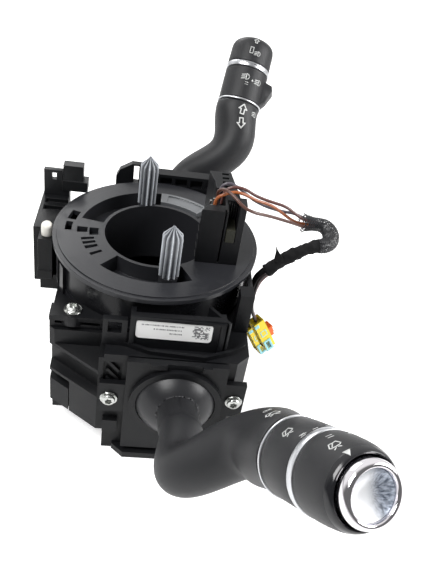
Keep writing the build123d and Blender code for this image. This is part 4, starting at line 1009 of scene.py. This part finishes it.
# ---------------------------------------------------------------- wiper end barrel
# The last barrel of the wiper stalk narrows to a rounded, polished lip round the push button.
# It is one turned shape on the stalk's axis.
lip_from = 38.6            # the polished lip starts here, measured from the thin ring
end_profile = ((9.3, 23.2), (14.4, 23.2), (14.62, 23.3), (14.7, 23.6), (14.68, 28.0), (14.5, 32.0),
               (14.2, 35.4), (13.85, 37.6), (13.45, 39.2), (12.95, 40.5), (12.45, 41.3), (11.95, 41.65),
               (11.55, 41.55), (11.3, 41.1), (11.22, 40.2), (11.2, 34.7), (3.4, 34.7), (3.4, 31.2),
               (9.3, 31.2), (9.3, 23.2))
lip_black = moulded("lip_black", (0.010, 0.0102, 0.012), 0.16, tone_spread=0.1, grain_depth=0.03)

end_barrel = turned("wiper_end_turned", end_profile, stalk_paint, steps=barrel_steps, smooth=45)
end_barrel.data.materials.append(lip_black)
for face in end_barrel.data.polygons:
    face.material_index = 1 if face.center.z > lip_from * mm else 0
on_stalk(end_barrel, "wiper_end_barrel")

# ---------------------------------------------------------------- push button
# A chromed ring round a dished, pearly cap, sprung in the end of the wiper stalk; the cap's colour is a
# painted reflection.
# Both are turned shapes that move together.
ring_profile = ((8.6, 37.0), (10.85, 37.0), (10.85, 43.4), (10.78, 44.3), (10.5, 45.2), (10.05, 45.85),
                (9.5, 46.22), (8.95, 46.3), (8.5, 46.1), (8.2, 45.6), (8.1, 44.9), (8.1, 43.6), (8.6, 43.4),
                (8.6, 37.0))
cap_profile = ((0.0, 41.9), (1.8, 42.0), (3.6, 42.3), (5.2, 42.8), (6.6, 43.5), (7.5, 44.2), (8.0, 44.7),
               (8.05, 43.5), (8.5, 43.3), (8.5, 37.0), (3.0, 37.0), (3.0, 31.9), (0.0, 31.9))
cap_height = 43.0
button_steps = 96
chrome_trim = moulded("chrome_trim", (0.84, 0.81, 0.84), 0.09, tone_spread=0.04, gloss_spread=0.04,
                      metallic=1.0, grain_depth=0.01)
pearl_cap_painted_reflection = moulded("pearl_cap_painted_reflection", (0.80, 0.82, 0.86), 0.22, tone_spread=0.1, gloss_spread=0.25, metallic=0.35,
                    grain_scale=600.0, grain_depth=0.03)
# Painted reflection: the cap's colour fades from white on one side across the cap into a grey of painted
# shade, with streaks that run out from the middle.
foot, along, across = axis_places["wiper"]
cap_middle = (Vector(foot) + along * cap_height) * mm
tree = pearl_cap_painted_reflection.node_tree
place = add_node(tree, "TexCoord")["Object"]
centre = add_node(tree, "VectorMath", {0: place, 1: cap_middle}, operation="SUBTRACT")[0]
sideways = add_node(tree, "VectorMath", {0: centre, 1: Vector(across).normalized()},
                    operation="DOT_PRODUCT")["Value"]
painted_reflection_fade = add_node(tree, "MapRange", {"Value": sideways, "From Min": -0.001, "From Max": 0.0045},
                interpolation_type="SMOOTHSTEP")["Result"]
ray = add_node(tree, "VectorMath", {0: centre}, operation="NORMALIZE")[0]
brush = add_node(tree, "TexNoise", {"Vector": ray, "Scale": 9.0, "Detail": 5.0})["Fac"]
steep = add_node(tree, "MapRange", {"Value": brush, "From Min": 0.35, "From Max": 0.65})["Result"]
brushed_painted_shade = add_node(tree, "Mix", {
    "Factor": steep, "A": (0.10, 0.12, 0.16, 1), "B": (0.50, 0.55, 0.64, 1),
}, data_type="RGBA")["Result"]
painted_reflection_tone = add_node(tree, "Mix", {"Factor": painted_reflection_fade, "A": (0.97, 0.98, 1.0, 1), "B": brushed_painted_shade},
                 data_type="RGBA")["Result"]
feed(tree, tree.nodes["Principled BSDF"], {"Base Color": painted_reflection_tone})

for node, profile, finish in (("wiper_button_ring", ring_profile, chrome_trim),
                              ("wiper_button_cap", cap_profile, pearl_cap_painted_reflection)):
    on_stalk(turned(node.removeprefix("wiper_"), profile, finish, steps=button_steps, smooth=50), node)

# ---------------------------------------------------------------- printed marks
# Pale grey generic pictograms, bars and ticks are pad-printed on the arms and barrels.
# Each is a thin sheet that lies on the paint.
mark_grey = moulded("mark_grey", (0.55, 0.56, 0.55), 0.5, tone_spread=0.2, grain_depth=0.1)
mark_dark = moulded("mark_dark", (0.02, 0.02, 0.022), 0.5, tone_spread=0.2, grain_depth=0.1)
ink_t = 0.05
ink_lift = 0.012           # keeps the sheet's back off the paint
start_off = 1.2            # the flat mark starts this far out
ink_cuts = 3               # subdivisions that let it follow the surface
ink_reach = 0.01           # how far in the surface is looked for
stroke_w = 0.28
arrow_w = 0.34


def stroke(x0, y0, x1, y1, width=stroke_w):
    """A bar between two points, as its four corners."""
    near, far = Vector((x0, y0)), Vector((x1, y1))
    ahead = (far - near).normalized()
    side = ahead.orthogonal() * width / 2
    ahead = ahead * width / 2
    return [near - ahead - side, far + ahead - side, far + ahead + side, near - ahead + side]


def outline(points, width=stroke_w):
    """Bars along a closed line of points."""
    return [stroke(*near, *far, width) for near, far in zip(points, points[1:] + points[:1])]


def bars(count, length, pitch, width):
    """A row of equal short bars."""
    heights = [(index - (count - 1) / 2) * pitch for index in range(count)]
    return [stroke(-length / 2, height, length / 2, height, width) for height in heights]


lens = [(1.05 * sin(radians(angle)), cos(radians(angle))) for angle in range(20, 180, 20)]
rays = [stroke(-0.5, height, -1.6, height - 0.25) for height in (0.7, 0.0, -0.7)]
headlamp = outline([(0.0, 1.0), *lens, (0.0, -1.0)]) + rays
pane = [(-1.5, 0.7), (-1.1, 1.15), (0, 1.3), (1.1, 1.15), (1.5, 0.7), (0.95, -0.7), (0, -0.55), (-0.95, -0.7)]
spray = outline(pane) + [stroke(0, -0.5, 0.8, 0.8), stroke(-0.3, 1.7, -0.9, 2.1), stroke(0.3, 1.7, 0.9, 2.1)]
wedge = [[Vector((-0.9, -0.7)), Vector((0.9, -0.7)), Vector((0, 0.9))]]
arrow_head = [(0.55, 0.0), (1.25, 0.0), (0, 1.5), (-1.25, 0.0), (-0.55, 0.0)]
arrow = outline([(-0.55, -1.5), (0.55, -1.5), *arrow_head], arrow_w)
slab = outline([(-0.8, -1.6), (0.8, -1.6), (0.8, 1.6), (-0.8, 1.6)])
wiper_up = (0.1, -0.72, 0.69)
tick_up = (0.3, -0.72, 0.6)
light_up = (0.17, 0.65, 0.74)
light_down = (0.05, -0.65, -0.74)
marks = {                  # for each carrier: shapes, scale, place, outward and upward
    "wiper_arm": {
        "wiper_pane_icon": (spray, 1.9, (44.4, -138.1, 116.8), (-0.40, 0.68, 0.62), wiper_up),
        "wiper_jet_icon": (headlamp, 1.3, (44.3, -131.6, 110.4), (-0.40, 0.68, 0.62), wiper_up),
    },
    "wiper_speed_barrel": {
        "speed_icon": (spray, 1.35, (45.6, -155.0, 127.8), (-0.60, 0.35, 0.72), wiper_up),
        "speed_scale": (bars(3, 1.7, 1.4, 0.3), 1.0, (49.0, -161.4, 134.0), (-0.50, 0.42, 0.76), wiper_up),
        "speed_tick": (bars(1, 1.6, 1.0, 0.4), 1.0, (53.2, -158.7, 134.8), (-0.31, 0.53, 0.80), tick_up),
        "speed_off_tick": (bars(1, 1.2, 1.0, 0.4), 1.0, (57.9, -156.7, 134.1), (0.05, 0.60, 0.80), tick_up),
    },
    "wiper_end_barrel": {
        "end_scale": (bars(2, 1.9, 1.5, 0.3), 1.0, (55.4, -166.4, 140.4), (-0.50, 0.40, 0.77), wiper_up),
        "end_pane_icon": (spray, 1.35, (55.0, -171.4, 143.0), (-0.59, 0.33, 0.74), wiper_up),
        "end_wedge": (wedge, 1.5, (57.6, -176.6, 146.4), (-0.41, 0.33, 0.85), wiper_up),
        "end_tick": (bars(1, 1.4, 1.0, 0.4), 1.0, (62.2, -164.8, 140.4), (-0.1, 0.6, 0.8), tick_up),
    },
    "light_arm": {
        "turn_arrow_right": (arrow, 2.2, (51.8, 131.3, 112.7), (0.0, -0.75, 0.66), light_up),
        "turn_arrow_left": (arrow, 2.2, (51.4, 125.7, 105.2), (0.07, -0.80, 0.59), light_down),
        "beam_icon": (headlamp, 1.7, (61.0, 133.9, 108.4), (0.78, -0.51, 0.36), light_up),
    },
    "light_fog_barrel": {
        "fog_rear_icon": (headlamp, 1.9, (52.2, 145.6, 129.8), (-0.12, -0.74, 0.67), light_up),
        "fog_pointer": (wedge, 0.9, (56.6, 144.6, 127.8), (0.2, -0.75, 0.62), light_up),
        "fog_front_icon": (headlamp, 1.8, (61.4, 145.2, 126.6), (0.56, -0.68, 0.48), light_up),
        "fog_tick": (bars(2, 2.0, 1.4, 0.26), 1.0, (52.6, 142.6, 126.4), (-0.12, -0.74, 0.67), light_up),
    },
    "light_end_barrel": {
        "lamp_scale": (slab, 1.3, (54.5, 158.2, 143.5), (0.0, -0.70, 0.72), light_up),
        "lamp_icon": (headlamp, 1.5, (58.8, 156.9, 141.8), (0.35, -0.66, 0.66), light_up),
        "lamp_arrow": (arrow, 1.3, (57.5, 163.4, 148.2), (0.06, -0.50, 0.87), light_up),
    },
    "light_band": {
        "band_marks": (bars(2, 1.6, 1.3, 0.5), 1.0, (58.0, 151.9, 136.7), (0.2, -0.70, 0.68), light_up),
    },
}


def print_on(carrier, name, shapes, scale, place, outward, upward, ink):
    """Lays flat shapes on a carrier's surface as thin sheets, around a place, facing outward."""
    outward = Vector(outward).normalized()
    right = Vector(upward).cross(outward).normalized()
    upward = outward.cross(right)
    verts = []
    faces = []
    for corners in shapes:
        faces.append(tuple(range(len(verts), len(verts) + len(corners))))
        for corner in corners:
            spot = right * corner.x + upward * corner.y
            verts.append((Vector(place) + spot * scale + outward * start_off) * mm)
    piece = link_mesh(name, verts, faces, ink)
    edit(piece, everything=True)
    bpy.ops.mesh.subdivide(number_cuts=ink_cuts)
    bpy.ops.object.mode_set(mode="OBJECT")
    for vertex in piece.data.vertices:
        found, spot, *_ = carrier.ray_cast(vertex.co, -outward, distance=ink_reach)
        if found:
            vertex.co = spot + outward * ink_lift * mm
    finish_shape(piece)
    apply_modifier(piece, "SOLIDIFY", thickness=ink_t * mm, offset=1.0)
    return piece


for node, prints in marks.items():
    ink = mark_dark if node == "light_band" else mark_grey
    for name, form in prints.items():
        mark = print_on(painted[node], name, *form, ink)
        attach(mark, body_of[node])

# ---------------------------------------------------------------- sizes
# The imported box and the finished box are gathered, in metres.
low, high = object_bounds()
sizes = {"cad": [list(cad_box[0]), list(cad_box[1])], "visual": [list(low), list(high)]}
